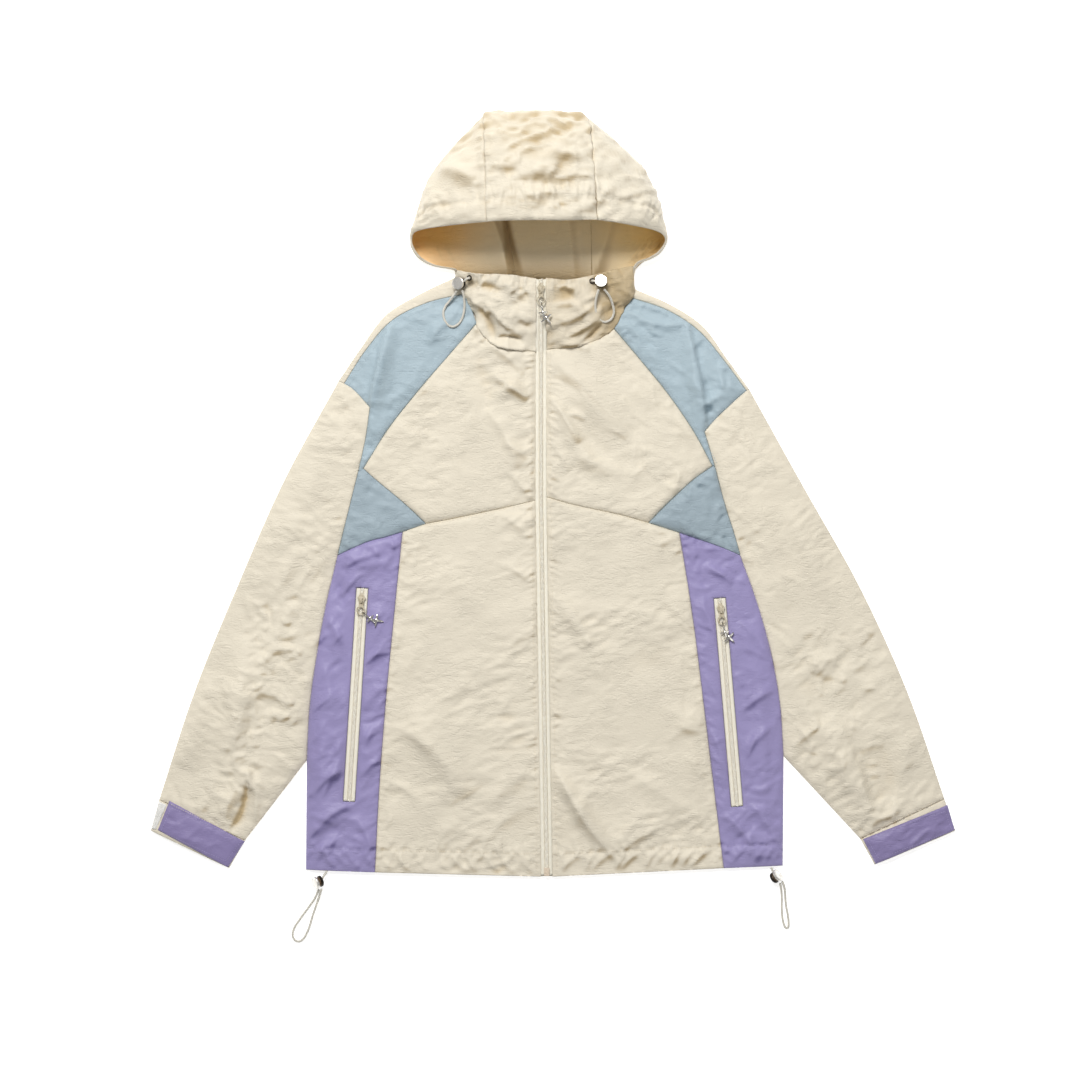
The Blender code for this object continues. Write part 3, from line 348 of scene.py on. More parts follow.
def add_tube(name, curve, radius, finish, slot, around=12):
    """A closed tube along a curve, with a UV map that counts turns and millimetres."""
    runs = unit(np.gradient(curve, axis=0))
    aside = np.cross(runs[0], (0.0, 0.0, 1.0))
    points = []
    for place, run in zip(curve, runs):
        aside = aside - run * (aside @ run)
        aside /= np.linalg.norm(aside)
        up = np.cross(aside, run)
        for i in range(around):
            angle = math.tau * i / around
            points.append(place + radius * (math.cos(angle) * aside + math.sin(angle) * up))
    faces = [tuple(range(around))[::-1]]
    for ring in range(len(curve) - 1):
        for i in range(around):
            j = (i + 1) % around
            faces.append((ring * around + i, ring * around + j,
                          (ring + 1) * around + j, (ring + 1) * around + i))
    faces.append(tuple((len(curve) - 1) * around + i for i in range(around)))
    tube = add_piece(name, points, faces, finish, slot)
    travelled = travelled_along(curve)
    layer = tube.data.uv_layers.new(name="along")
    for face in tube.data.polygons:
        columns = [tube.data.loops[i].vertex_index % around for i in face.loop_indices]
        wraps = max(columns) - min(columns) > 1
        for loop, column in zip(face.loop_indices, columns):
            ring = tube.data.loops[loop].vertex_index // around
            turn = (column + around if wraps and column == 0 else column) / around
            layer.data[loop].uv = (turn, travelled[ring])
    return tube


def add_cords():
    cords = {}
    for name, route in CORD_ROUTES.items():
        curve = smooth_through(route, 6)
        curve = evenly(curve, round(length_of(curve) / 1.2))
        cord = add_tube(f"{name}_braided", curve, CORD_RADIUS, CORD_FINISH, "cord")
        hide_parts(name)
        cords[name] = (cord, curve)
        print(name, round(length_of(curve)), "mm")
    return cords


cords = add_cords()

# %% [markdown]
# ## Floor and light
#
# A pale floor and soft light from above the head of the garment let the folds show as gentle shading
# without hard shadows. One wide lamp gives the direction, and the pale world fills the rest.

# %% Set the stage
LAMPS = (
    # name, place, size, watts
    ("key_lamp", (-0.55, 1.95, 2.9), 1.1, 114.0),
    ("fill_lamp", (1.4, -0.8, 2.8), 1.8, 9.0),
)


def add_floor():
    bpy.ops.mesh.primitive_plane_add(size=30.0, location=(0.0, 0.0, -0.0005))
    floor = bpy.context.active_object
    floor.name = "floor"
    finish = Finish("pale_floor", roughness=0.9)
    grain = finish.noise(3.0, 3.0)
    finish.colour(finish.blend(grain, (0.90, 0.90, 0.90, 1.0), (0.93, 0.93, 0.93, 1.0)))
    finish.put("Specular IOR Level", 0.1)
    finish.put("Emission Color", (1.0, 1.0, 1.0, 1.0))
    finish.put("Emission Strength", 0.6)
    floor.data.materials.append(finish.material)
    floor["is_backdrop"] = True


def add_lamp(name, place, size, watts):
    bpy.ops.object.light_add(type="AREA", location=place)
    lamp = bpy.context.active_object
    lamp.name = name
    lamp.data.shape = "RECTANGLE"
    lamp.data.size = lamp.data.size_y = size
    lamp.data.energy = watts
    lamp.rotation_euler = (-Vector(place)).to_track_quat("-Z", "Y").to_euler()


def light_the_stage():
    world = bpy.data.worlds.new("pale_room")
    bpy.context.scene.world = world
    world.use_nodes = True
    background = world.node_tree.nodes["Background"].inputs
    background["Color"].default_value = (1.0, 1.0, 1.0, 1.0)
    background["Strength"].default_value = 0.31
    for lamp in LAMPS:
        add_lamp(*lamp)
    bpy.context.scene.view_settings.view_transform = "Standard"
    bpy.context.scene.view_settings.look = "None"


add_floor()
light_the_stage()

# %% [markdown]
# ## The pattern
#
# Landmarks are joined by seams, and seams enclose the cut pieces. Two neighbours share the points of the
# seam between them, so no gap can open there whatever the cloth does later.

# %% Landmarks, seams and pieces
LANDMARKS = {
    # name: right (out, y), left (out, y)
    "neck_back": ((102, 720), (111, 706)),
    "collar_corner": ((100, 727), (110, 732)),
    "neck_seam": ((90, 700), (108, 695)),
    "neck_point": ((77, 664), (87, 658)),
    "neck_zip": ((5.6, 630), (5.6, 632)),
    "collar_zip": ((5.6, 716), (5.6, 717)),
    "cap_edge": ((243, 595), (250, 585)),
    "cap_seam": ((236, 592), (246.5, 583.4)),
    "notch": ((205, 563), (196, 534)),
    "chest_corner": ((213, 490), (205.5, 493)),
    "armhole_point": ((219, 487), (209, 491.5)),
    "underarm": ((244, 386), (239, 386)),
    "triangle_tip": ((138, 424), (129, 425)),
    "chest_zip": ((6.5, 452), (6.5, 456)),
    "panel_top": ((166, 414), (166, 413)),
    "panel_hem": ((199, 6), (219, 11)),
    "side_hem": ((282, 9), (290, 14)),
    "hem_zip": ((-0.3, 1), (13.6, 1)),
    "sleeve_leave": ((281, 140), (291, 145)),
    "cuff_outer": ((458, 93), (484, 94)),
    "cuff_inner": ((355, 44), (383, 46)),
    "cuff_outer_end": ((468, 56), (497, 56)),
    "cuff_inner_end": ((374, 11), (400, 15)),
    "pocket_top": ((214, 347), (214, 335)),
    "pocket_bottom": ((230, 91), (235, 85)),
}

# A seam's bows: how far it leaves the straight line at a quarter, half and three quarters of its length.
STRAIGHT = ((0, 0, 0), (0, 0, 0))
SEAMS = {
    # name: from, to, right bows, left bows
    "shoulder_edge": ("neck_back", "cap_edge", (13.5, 21.5, 12), (14.5, 20.5, 10.5)),
    "shoulder_seam": ("neck_seam", "cap_seam", (19, 26.5, 17), (16, 20, 11.5)),
    "cap_end": ("cap_edge", "cap_seam", *STRAIGHT),
    "armhole_cap": ("cap_seam", "notch", (-2, -2, -1), (-1, -1.5, -1.5)),
    "armhole_front": ("notch", "armhole_point", (-1, -1.5, -1), (0, 0, 0)),
    "armhole_side": ("armhole_point", "underarm", (0, 0, 0), (-1, -1, 0)),
    "front_diagonal": ("neck_point", "chest_corner", (3, 5.5, 5.5), (4, 7, 6)),
    "tail_end": ("chest_corner", "armhole_point", *STRAIGHT),
    "triangle_upper": ("chest_corner", "triangle_tip", (0, -1, -1), (-3, -3, -2)),
    "triangle_inner": ("triangle_tip", "panel_top", *STRAIGHT),
    "triangle_outer": ("panel_top", "underarm", (1, 3, 2), (0.5, 1, 1)),
    "chest_seam": ("chest_zip", "triangle_tip", (-1, -1, -1), (-1, 0, 1)),
    "panel_seam": ("panel_top", "panel_hem", (2, 3.5, 3), (2.5, 2, 1)),
    "side_upper": ("underarm", "sleeve_leave", (5, 7, 6), (8, 11.5, 9)),
    "side_lower": ("sleeve_leave", "side_hem", *STRAIGHT),
    "hem_panel": ("side_hem", "panel_hem", *STRAIGHT),
    "hem_front": ("panel_hem", "hem_zip", *STRAIGHT),
    "neck_join": ("neck_back", "neck_seam", *STRAIGHT),
    "neck_side": ("neck_seam", "neck_point", *STRAIGHT),
    "neck_front": ("neck_point", "neck_zip", (12, 11, 6), (7, 7, 4)),
    "zip_upper": ("neck_zip", "chest_zip", *STRAIGHT),
    "zip_lower": ("chest_zip", "hem_zip", *STRAIGHT),
    "collar_top": ("collar_corner", "collar_zip", (2, 0, -1), (2, 5, 6)),
    "sleeve_outer": ("cap_edge", "cuff_outer", (13, 14.5, 12), (8.5, 17.5, 15)),
    "sleeve_inner": ("sleeve_leave", "cuff_inner", *STRAIGHT),
    "cuff_seam": ("cuff_outer", "cuff_inner", *STRAIGHT),
    "cuff_outer_side": ("cuff_outer", "cuff_outer_end", *STRAIGHT),
    "cuff_inner_side": ("cuff_inner", "cuff_inner_end", *STRAIGHT),
    "cuff_end": ("cuff_outer_end", "cuff_inner_end", *STRAIGHT),
}
ROLLED_SEAMS = ("shoulder_edge", "side_upper", "side_lower", "sleeve_outer", "sleeve_inner",
                "cuff_outer_side", "cuff_inner_side")
DIPPED_SEAMS = ("shoulder_seam", "armhole_cap", "armhole_front", "armhole_side", "front_diagonal",
                "triangle_upper", "triangle_inner", "triangle_outer", "chest_seam", "panel_seam",
                "cuff_seam")
UPPER_PIECES = {
    # piece: cloth, way its grain runs, strength of the grain, seams all round
    "shoulder_strip": ("cream", 0.5, 0.5, ("shoulder_edge", "cap_end", "shoulder_seam", "neck_join")),
    "front_shoulder": ("blue", -0.5, 1.0, (
        "shoulder_seam", "armhole_cap", "armhole_front", "tail_end", "front_diagonal", "neck_side")),
    "front_chest": ("cream", 0.1, 1.0, (
        "front_diagonal", "triangle_upper", "chest_seam", "zip_upper", "neck_front")),
    # The triangles use a darker copy of the blue cloth, as painted shade.
    "front_triangle": ("low_blue", -0.5, 1.7, (
        "armhole_side", "triangle_outer", "triangle_inner", "triangle_upper", "tail_end")),
    "front_lower": ("cream", 0.1, 1.15, (
        "triangle_inner", "panel_seam", "hem_front", "zip_lower", "chest_seam")),
    "side_panel": ("purple", 0.5, 0.9, (
        "triangle_outer", "side_upper", "side_lower", "hem_panel", "panel_seam")),
    "sleeve_top": ("cream", -0.5, 1.0, (
        "sleeve_outer", "cuff_seam", "sleeve_inner", "side_upper", "armhole_side", "armhole_front",
        "armhole_cap", "cap_end")),
    "cuff_top": ("cream", -0.5, 0.8, ("cuff_seam", "cuff_outer_side", "cuff_end", "cuff_inner_side")),
}
BACK_SEAMS = ("shoulder_edge", "cap_end", "armhole_cap", "armhole_front", "armhole_side",
              "side_upper", "side_lower", "hem_panel", "hem_front")
THREAD_STEP = 2.5  # spacing of the mesh's points, millimetres


def landmark(side, name):
    right, left = LANDMARKS[name]
    out, y = right if side == "r" else left
    return np.array((SIDES[side] * out, float(y)))


def seam(side, name, step=THREAD_STEP):
    start_name, end_name, right_bows, left_bows = SEAMS[name]
    start, end = landmark(side, start_name), landmark(side, end_name)
    along = end - start
    length = np.linalg.norm(along)
    outward = np.array((-along[1], along[0])) / length * SIDES[side]
    bows = right_bows if side == "r" else left_bows
    quarters = [start + along * q + outward * bow for q, bow in zip((0.25, 0.5, 0.75), bows)]
    curve = smooth_through([start] + quarters + [end], 24)
    return evenly(curve, max(1, round(length / step)))


def outline(side, names, step=THREAD_STEP):
    """Seams chained end to end into one closed loop."""
    first, second = seam(side, names[0], step), seam(side, names[1], step)
    chain = list(first)
    if min(math.dist(chain[0], second[0]), math.dist(chain[0], second[-1])) < 0.01:
        chain.reverse()
    for name in names[1:]:
        stretch = list(seam(side, name, step))
        if math.dist(stretch[-1], chain[-1]) < math.dist(stretch[0], chain[-1]):
            stretch.reverse()
        chain.extend(stretch[1:])
    return np.array(chain[:-1])


def distance_to(curve, x, y):
    """Distance from each place (x, y) to a curve of straight stretches."""
    nearest = np.full(np.shape(x), 1e9)
    for a, b in zip(curve[:-1], curve[1:]):
        run = b - a
        t = np.clip(((x - a[0]) * run[0] + (y - a[1]) * run[1]) / (run @ run), 0.0, 1.0)
        nearest = np.minimum(nearest, (x - a[0] - t * run[0]) ** 2 + (y - a[1] - t * run[1]) ** 2)
    return np.sqrt(nearest)


def inside(polygon, x, y):
    within = np.zeros(np.shape(x), bool)
    for (ax, ay), (bx, by) in zip(polygon, np.roll(polygon, -1, axis=0)):
        crosses = (ay > y) != (by > y)
        span = by - ay if by != ay else 1.0
        within ^= crosses & (x < (bx - ax) * (y - ay) / span + ax)
    return within


print("cut pieces of the upper layer", 2 * len(UPPER_PIECES))

# %% [markdown]
# ## How high the cloth lies
#
# The solids follow one height: cloth rises from the rolled edges, dips at seams and runs up over the
# largest folds. The fine cloth starts from the same height, so it stays where its solid is.

# %% The height of the lying cloth
EDGE_TOP = 3.3
LOFT = 3.8
ROLL = 9.0
SEAM_DIP = 0.9
SEAM_DIP_WIDTH = 7.0
FOLDS = (
    # from x, y, to x, y, height, reach to its left and right
    (-176, 668, -210, 528, 4.5, 11, 5), (172, 668, 199, 500, 4.5, 5, 12),
    (196, 640, 226, 560, 3.0, 8, 12), (-24, 596, -66, 566, 4.0, 9, 9),
    (20, 604, 96, 528, 5.5, 9, 12), (14, 556, 78, 474, 4.0, 8, 10),
    (30, 560, 84, 500, -1.6, 8, 8), (-160, 190, -90, 106, 4.5, 9, 12),
    (14, 130, 80, 40, 5.0, 9, 10), (12, 342, 62, 272, 3.0, 8, 9),
    (82, 36, 128, 84, 3.0, 8, 8), (-120, 380, -60, 300, 2.4, 14, 14),
    (100, 400, 150, 250, 2.4, 14, 14), (-258, 250, -268, 60, 2.6, 9, 8),
    (262, 260, 270, 60, 2.6, 8, 9), (-350, 290, -372, 120, 6.0, 12, 16),
    (-366, 170, -372, 84, -1.8, 8, 8), (-366, 86, -352, 132, 4.5, 8, 8),
    (-300, 440, -350, 320, 3.0, 15, 15), (-400, 250, -428, 130, 3.0, 15, 15),
    (336, 190, 392, 70, 6.0, 14, 13), (352, 190, 404, 86, -1.8, 9, 9),
    (296, 450, 346, 320, 3.0, 15, 15), (400, 270, 440, 120, 3.4, 16, 15),
    (300, 250, 340, 150, 3.0, 10, 12),
)
ROLLED_CURVES = [seam(side, name, 12.0) for side in SIDES for name in ROLLED_SEAMS]
DIPPED_CURVES = [seam(side, name, 12.0) for side in SIDES for name in DIPPED_SEAMS]


def along_and_across(start, end, x, y):
    """Each place's share of the way from start to end, and its distance to the left of that way."""
    run = np.subtract(end, start)
    length = math.hypot(*run)
    along = ((x - start[0]) * run[0] + (y - start[1]) * run[1]) / length ** 2
    return along, ((x - start[0]) * -run[1] + (y - start[1]) * run[0]) / length


def fold_height(fold, x, y):
    along, across = along_and_across(fold[0:2], fold[2:4], x, y)
    height, left, right = fold[4:]
    reach = np.where(across > 0, left, right)
    swell = np.clip(4 * along * (1 - along), 0, 1) ** 0.75
    return height * swell * np.exp(-(across / reach) ** 2)


def surface_height(x, y):
    """Top face of the upper layer over any place in the plan."""
    x, y = np.asarray(x, float), np.asarray(y, float)
    to_edge = np.full(x.shape, 1e9)
    for curve in ROLLED_CURVES:
        to_edge = np.minimum(to_edge, distance_to(curve, x, y))
    lifted = 1 - np.exp(-to_edge / ROLL)
    extra = np.full(x.shape, LOFT)
    for curve in DIPPED_CURVES:
        extra -= SEAM_DIP * np.exp(-(distance_to(curve, x, y) / SEAM_DIP_WIDTH) ** 2)
    for fold in FOLDS:
        extra += fold_height(fold, x, y)
    return EDGE_TOP + np.maximum(extra, 0.8) * lifted


print("height at the chest", round(float(surface_height(-100, 500)), 1), "mm")

# %% [markdown]
# ## Relief
#
# Thin nylon never lies smooth. Its creases are laid down one by one on a millimetre grid, like strokes of
# a brush: each has two ends, a height, a reach to either side and a little bend. Puckers start at a seam
# and run out into the cloth, where the thread draws it in. Fine crumple comes from smoothed chance
# numbers with a fixed seed, so it is the same on every run.

# %% A grid of heights and the strokes on it
GRID_LOW = np.array((-520.0, -30.0))
GRID_SHAPE = (1010, 1070)
HAND_GAIN = 1.8
HOOD_GAIN = 1.7
CHANCE_GAIN = 1.35
PUCKER_GAIN = 2.3
PUCKER_START = 1.2
relief = np.zeros(GRID_SHAPE)
chance = np.random.default_rng(20)


def window_around(points, pad):
    low = np.floor(np.min(points, axis=0) - pad - GRID_LOW).astype(int)
    high = np.ceil(np.max(points, axis=0) + pad - GRID_LOW).astype(int)
    low = np.maximum(low, 0)
    high = np.minimum(high, (GRID_SHAPE[1] - 1, GRID_SHAPE[0] - 1))
    x, y = np.meshgrid(np.arange(low[0], high[0] + 1) + GRID_LOW[0],
                       np.arange(low[1], high[1] + 1) + GRID_LOW[1])
    return (slice(low[1], high[1] + 1), slice(low[0], high[0] + 1)), x, y


def add_crease(start, end, height, left, right, bend=0.0, crisp=0.5, tail=0.75, onto=None):
    """A ridge, or a trough if height is negative, that swells between its two ends."""
    window, x, y = window_around((start, end), 3 * max(left, right) + abs(bend))
    along, across = along_and_across(start, end, x, y)
    swell = np.clip(4 * along * (1 - along), 0, 1)
    across = across - bend * swell
    reach = np.where(across > 0, left, right)
    soft = np.exp(-(across / reach) ** 2)
    sharp = np.exp(-(np.sqrt(across ** 2 + 1.4) - 1.18) / (0.62 * reach))
    onto = relief if onto is None else onto
    onto[window] += height * swell ** tail * ((1 - crisp) * soft + crisp * sharp)


def add_creases(rows, gain, onto=None):
    for row in rows:
        add_crease(row[0:2], row[2:4], gain * row[4], *row[5:], onto=onto)


def add_pucker(foot, heading, length, width, height):
    """A short ridge that is highest at its foot on a seam and dies away into the cloth."""
    end = foot + heading * length
    window, x, y = window_around((foot, end), 3 * width)
    along = (x - foot[0]) * heading[0] + (y - foot[1]) * heading[1]
    across = (x - foot[0]) * -heading[1] + (y - foot[1]) * heading[0]
    t = np.clip(along / length, 0, 1)
    fade = np.where(along > 0, (1 - t) ** 1.3, np.exp(-(along / 0.8) ** 2))
    relief[window] += PUCKER_GAIN * height * fade * np.exp(-(across / width) ** 2)


def pucker_seam(curve, inward, start, spacing, length, height, slant=0.0):
    """Puckers all along a seam, on the side that inward points to."""
    total = length_of(curve)
    travelled = travelled_along(curve)
    place = spacing * 0.5
    while place < total:
        foot = np.array([np.interp(place, travelled, column) for column in curve.T])
        index = min(int(np.searchsorted(travelled, place)), len(curve) - 1)
        run = curve[index] - curve[index - 1]
        run /= np.linalg.norm(run)
        aside = np.array((-run[1], run[0])) * inward
        tilt = slant + chance.normal(0.0, 0.28)
        heading = aside * math.cos(tilt) + run * math.sin(tilt)
        size = chance.uniform(0.55, 1.35)
        add_pucker(foot + aside * start, heading, length * size, spacing * 0.27, height * size)
        place += spacing * chance.uniform(0.7, 1.35)


def smoothed(grid, along, across, turn=0.0):
    """The same grid with everything narrower than the two reaches rubbed out."""
    rows = np.fft.fftfreq(GRID_SHAPE[0])[:, None]
    columns = np.fft.rfftfreq(GRID_SHAPE[1])[None, :]
    first = columns * math.cos(turn) + rows * math.sin(turn)
    second = rows * math.cos(turn) - columns * math.sin(turn)
    keep = np.exp(-2 * math.pi ** 2 * ((first * along) ** 2 + (second * across) ** 2))
    return np.fft.irfft2(np.fft.rfft2(grid) * keep, s=GRID_SHAPE)


def crumple(along, across, turn):
    """Smoothed chance numbers, longer one way than the other, with a spread of one."""
    field = smoothed(chance.standard_normal(GRID_SHAPE), along, across, turn)
    return field / field.std()


def read_grid(grid, x, y):
    """Heights at places between the grid's own points."""
    column = np.clip(np.asarray(x) - GRID_LOW[0], 0, GRID_SHAPE[1] - 1.001)
    row = np.clip(np.asarray(y) - GRID_LOW[1], 0, GRID_SHAPE[0] - 1.001)
    i, j = row.astype(int), column.astype(int)
    u, v = column - j, row - i
    return ((1 - v) * ((1 - u) * grid[i, j] + u * grid[i, j + 1])
            + v * ((1 - u) * grid[i + 1, j] + u * grid[i + 1, j + 1]))


def read_over(grid, places):
    return read_grid(grid, places[..., 0], places[..., 1])


# %% Creases placed one by one
CREASES = (
    # from x, y, to x, y, height, reach to its left and right, bend, crispness
    # collar, wearer's right: the cloth folds over itself above the neck seam
    (-92, 706, -60, 676, 2.2, 9, 5, -2, 0.7), (-66, 690, -20, 648, 2.6, 11, 4, -4, 0.9),
    (-74, 680, -54, 638, -2.8, 6, 4, 2, 0.5), (-54, 646, -20, 640, -3.0, 2, 3, 4, 0.7),
    (-58, 640, -16, 634, 1.2, 3, 3, -2, 0.9), (-88, 668, -66, 646, 1.4, 5, 5, 0, 0.6),
    (-26, 704, -14, 690, -2.2, 4, 4, 2, 0.8), (-30, 696, -14, 700, 1.4, 3, 3, 1, 0.8),
    (-52, 712, -22, 694, 1.5, 6, 6, 3, 0.5), (-70, 708, -44, 694, -1.5, 6, 6, 2, 0.4),
    (-46, 678, -12, 664, 1.0, 6, 5, 2, 0.5), (-30, 664, -10, 654, -1.2, 4, 4, 1, 0.6),
    # collar, wearer's left
    (46, 641, 72, 662, -3.0, 2, 3, -3, 0.8), (20, 638, 60, 648, 1.8, 3, 3, -2, 0.9),
    (18, 644, 74, 676, 2.2, 6, 4, -4, 0.9), (12, 662, 70, 692, 1.8, 8, 5, -5, 0.7),
    (14, 704, 44, 688, -1.6, 4, 7, 4, 0.6), (24, 708, 40, 700, 1.6, 3, 3, 2, 0.9),
    (14, 684, 50, 682, 1.6, 5, 5, 4, 0.6), (60, 714, 92, 692, -1.6, 8, 8, 3, 0.3),
    (80, 728, 104, 692, 2.0, 8, 5, 2, 0.6), (72, 668, 100, 690, -1.6, 7, 7, 2, 0.4),
    # chest, wearer's right
    (-66, 642, -20, 602, 3.4, 14, 8, 3, 0.8), (-62, 602, -16, 570, 3.6, 12, 7, 4, 0.8),
    (-44, 588, -14, 572, 2.0, 5, 5, 2, 0.8), (-66, 562, -28, 490, 3.4, 22, 10, 5, 0.7),
    (-48, 524, -14, 500, 1.4, 6, 5, 2, 0.6), (-38, 484, -18, 460, 1.8, 7, 5, 2, 0.7),
    (-76, 622, -60, 560, -1.6, 9, 9, 2, 0.2), (-96, 600, -84, 520, 1.4, 12, 10, 3, 0.2),
    # chest, wearer's left
    (12, 622, 104, 528, 3.6, 22, 10, 6, 0.6), (14, 598, 50, 574, -1.5, 6, 7, 3, 0.4),
    (10, 576, 46, 520, 4.4, 11, 7, 2, 0.9), (30, 556, 54, 548, 2.0, 4, 4, 2, 0.9),
    (26, 494, 88, 468, -0.7, 7, 9, 3, 0.3), (34, 504, 96, 480, 1.5, 10, 8, 5, 0.4),
    (12, 520, 34, 486, 1.6, 6, 5, 2, 0.6), (16, 640, 60, 632, 1.6, 6, 5, 3, 0.5),
    (96, 600, 130, 560, 1.2, 10, 9, 3, 0.3),
    # lower front, wearer's right
    (-158, 206, -88, 96, 5.0, 44, 30, 8, 0.4), (-146, 282, -176, 234, 1.2, 9, 12, 4, 0.3),
    (-126, 204, -82, 238, 1.0, 10, 10, 4, 0.3), (-64, 82, -10, 128, 1.5, 11, 10, 6, 0.4),
    (-128, 32, -96, 68, 1.5, 10, 9, 5, 0.4), (-70, 36, -18, 88, 1.8, 11, 10, 6, 0.4),
    (-96, 30, -64, 56, 1.4, 9, 8, 4, 0.4), (-44, 268, -12, 300, 1.2, 6, 6, 2, 0.5),
    (-40, 372, -12, 354, 1.8, 6, 5, 2, 0.7), (-48, 434, -12, 408, 1.8, 7, 5, 2, 0.7),
    (-170, 180, -130, 150, 1.6, 8, 8, 2, 0.4), (-190, 120, -140, 90, 1.6, 8, 8, 2, 0.4),
    # lower front, wearer's left
    (18, 138, 92, 22, 4.6, 16, 9, -9, 0.7), (92, 26, 140, 58, 2.4, 12, 8, 6, 0.6),
    (22, 336, 64, 262, 2.4, 14, 10, 7, 0.5), (62, 300, 78, 180, 1.4, 10, 9, 3, 0.3),
    (140, 208, 194, 164, 1.5, 12, 12, 6, 0.3), (150, 160, 196, 190, 1.2, 11, 10, 5, 0.3),
    (110, 120, 190, 70, 2.0, 12, 12, 3, 0.3), (150, 330, 182, 296, 1.6, 7, 6, 2, 0.5),
    (40, 60, 64, 110, 1.4, 8, 8, 2, 0.3),
    # shoulders
    (-180, 668, -207, 556, 4.6, 13, 2.6, -2, 0.8), (-136, 638, -108, 670, 1.8, 6, 6, 2, 0.4),
    (-150, 600, -190, 560, 1.2, 8, 8, 2, 0.3), (110, 676, 170, 664, 2.4, 5, 9, -7, 0.7),
    (116, 688, 152, 674, 1.3, 3, 4, 3, 0.8), (126, 660, 146, 648, 1.3, 3, 4, -2, 0.8),
    (124, 696, 178, 678, -1.4, 8, 8, 4, 0.3), (98, 664, 124, 640, 2.0, 6, 5, 2, 0.6),
    (176, 600, 206, 560, 1.8, 6, 6, 2, 0.6), (190, 560, 222, 580, 1.8, 6, 6, 2, 0.6),
    (150, 560, 186, 520, 1.4, 8, 6, 2, 0.5), (172, 672, 199, 530, 4.4, 2.8, 16, 3, 0.8),
    (200, 644, 234, 572, 1.6, 7, 8, 3, 0.4), (120, 640, 150, 600, 1.2, 8, 8, 2, 0.3),
    # side panel, wearer's right
    (-240, 336, -212, 366, 2.4, 5, 5, 3, 0.7), (-236, 370, -204, 386, 2.0, 6, 6, 3, 0.6),
    (-256, 312, -238, 278, 1.8, 5, 6, 2, 0.7), (-282, 92, -236, 134, 2.8, 9, 8, 3, 0.6),
    (-282, 42, -230, 90, 3.2, 9, 9, 4, 0.7), (-276, 20, -240, 50, 2.2, 8, 8, 2, 0.5),
    (-219, 118, -188, 148, 1.8, 6, 6, 2, 0.6), (-219, 160, -186, 188, 1.8, 6, 6, 2, 0.6),
    (-216, 204, -182, 230, 1.5, 6, 6, 2, 0.6), (-214, 252, -180, 280, 1.5, 6, 6, 2, 0.6),
    (-212, 300, -178, 322, 1.5, 6, 6, 2, 0.6), (-224, 74, -198, 28, 2.4, 8, 7, 2, 0.6),
    (-262, 260, -248, 180, 1.8, 9, 8, 3, 0.3),
    # side panel, wearer's left
    (188, 336, 213, 278, 2.2, 7, 6, 2, 0.6), (194, 374, 230, 352, 2.2, 6, 5, 3, 0.7),
    (252, 300, 282, 248, 1.8, 8, 7, 2, 0.5), (238, 198, 278, 226, 1.8, 6, 5, 2, 0.6),
    (242, 150, 282, 186, 1.8, 7, 6, 2, 0.5), (203, 178, 226, 118, 1.8, 6, 6, 2, 0.6),
    (198, 240, 222, 190, 1.6, 6, 6, 2, 0.6), (220, 78, 264, 20, 3.0, 9, 8, 3, 0.7),
    (250, 90, 284, 40, 2.4, 9, 8, 3, 0.6),
    # sleeve, wearer's right
    (-308, 300, -338, 232, 2.0, 8, 20, -5, 0.6), (-330, 256, -372, 130, 2.8, 14, 34, -7, 0.4),
    (-292, 330, -318, 286, 1.8, 8, 10, -3, 0.6), (-352, 116, -371, 54, -3.8, 3, 3, 6, 0.8),
    (-346, 122, -344, 66, 2.6, 7, 5, 4, 0.7), (-360, 120, -380, 62, 2.6, 7, 12, -4, 0.5),
    (-352, 130, -346, 104, 2.4, 3, 3, 0, 0.9), (-330, 226, -296, 196, 1.8, 8, 8, 3, 0.5),
    (-352, 208, -318, 232, 1.6, 6, 6, 2, 0.6), (-342, 252, -306, 276, 1.6, 6, 6, 2, 0.6),
    (-290, 400, -326, 330, 1.8, 10, 10, 3, 0.3), (-270, 500, -300, 400, 1.5, 12, 12, 3, 0.2),
    (-398, 250, -428, 130, 1.5, 16, 14, 4, 0.2), (-392, 130, -404, 80, 1.6, 8, 8, 2, 0.4),
    # sleeve, wearer's left
    (348, 200, 398, 62, 5.0, 14, 22, 6, 0.7), (362, 176, 410, 80, -3.0, 18, 14, 4, 0.2),
    (402, 170, 424, 90, -1.6, 10, 10, 3, 0.3), (300, 156, 336, 184, 2.0, 4, 5, 2, 0.7),
    (304, 186, 328, 148, 1.8, 4, 5, 2, 0.7), (336, 240, 366, 286, 1.1, 10, 11, 5, 0.3),
    (356, 214, 384, 262, 1.2, 10, 10, 5, 0.3), (320, 268, 342, 236, 1.6, 6, 6, 2, 0.5),
    (252, 462, 292, 322, 1.8, 12, 12, 3, 0.2), (300, 440, 340, 330, 1.6, 12, 12, 4, 0.2),
    (410, 270, 446, 130, 1.4, 14, 14, -4, 0.2), (430, 110, 450, 180, 1.2, 10, 10, 2, 0.3),
)
add_creases(CREASES, HAND_GAIN)
print("creases by hand", len(CREASES))

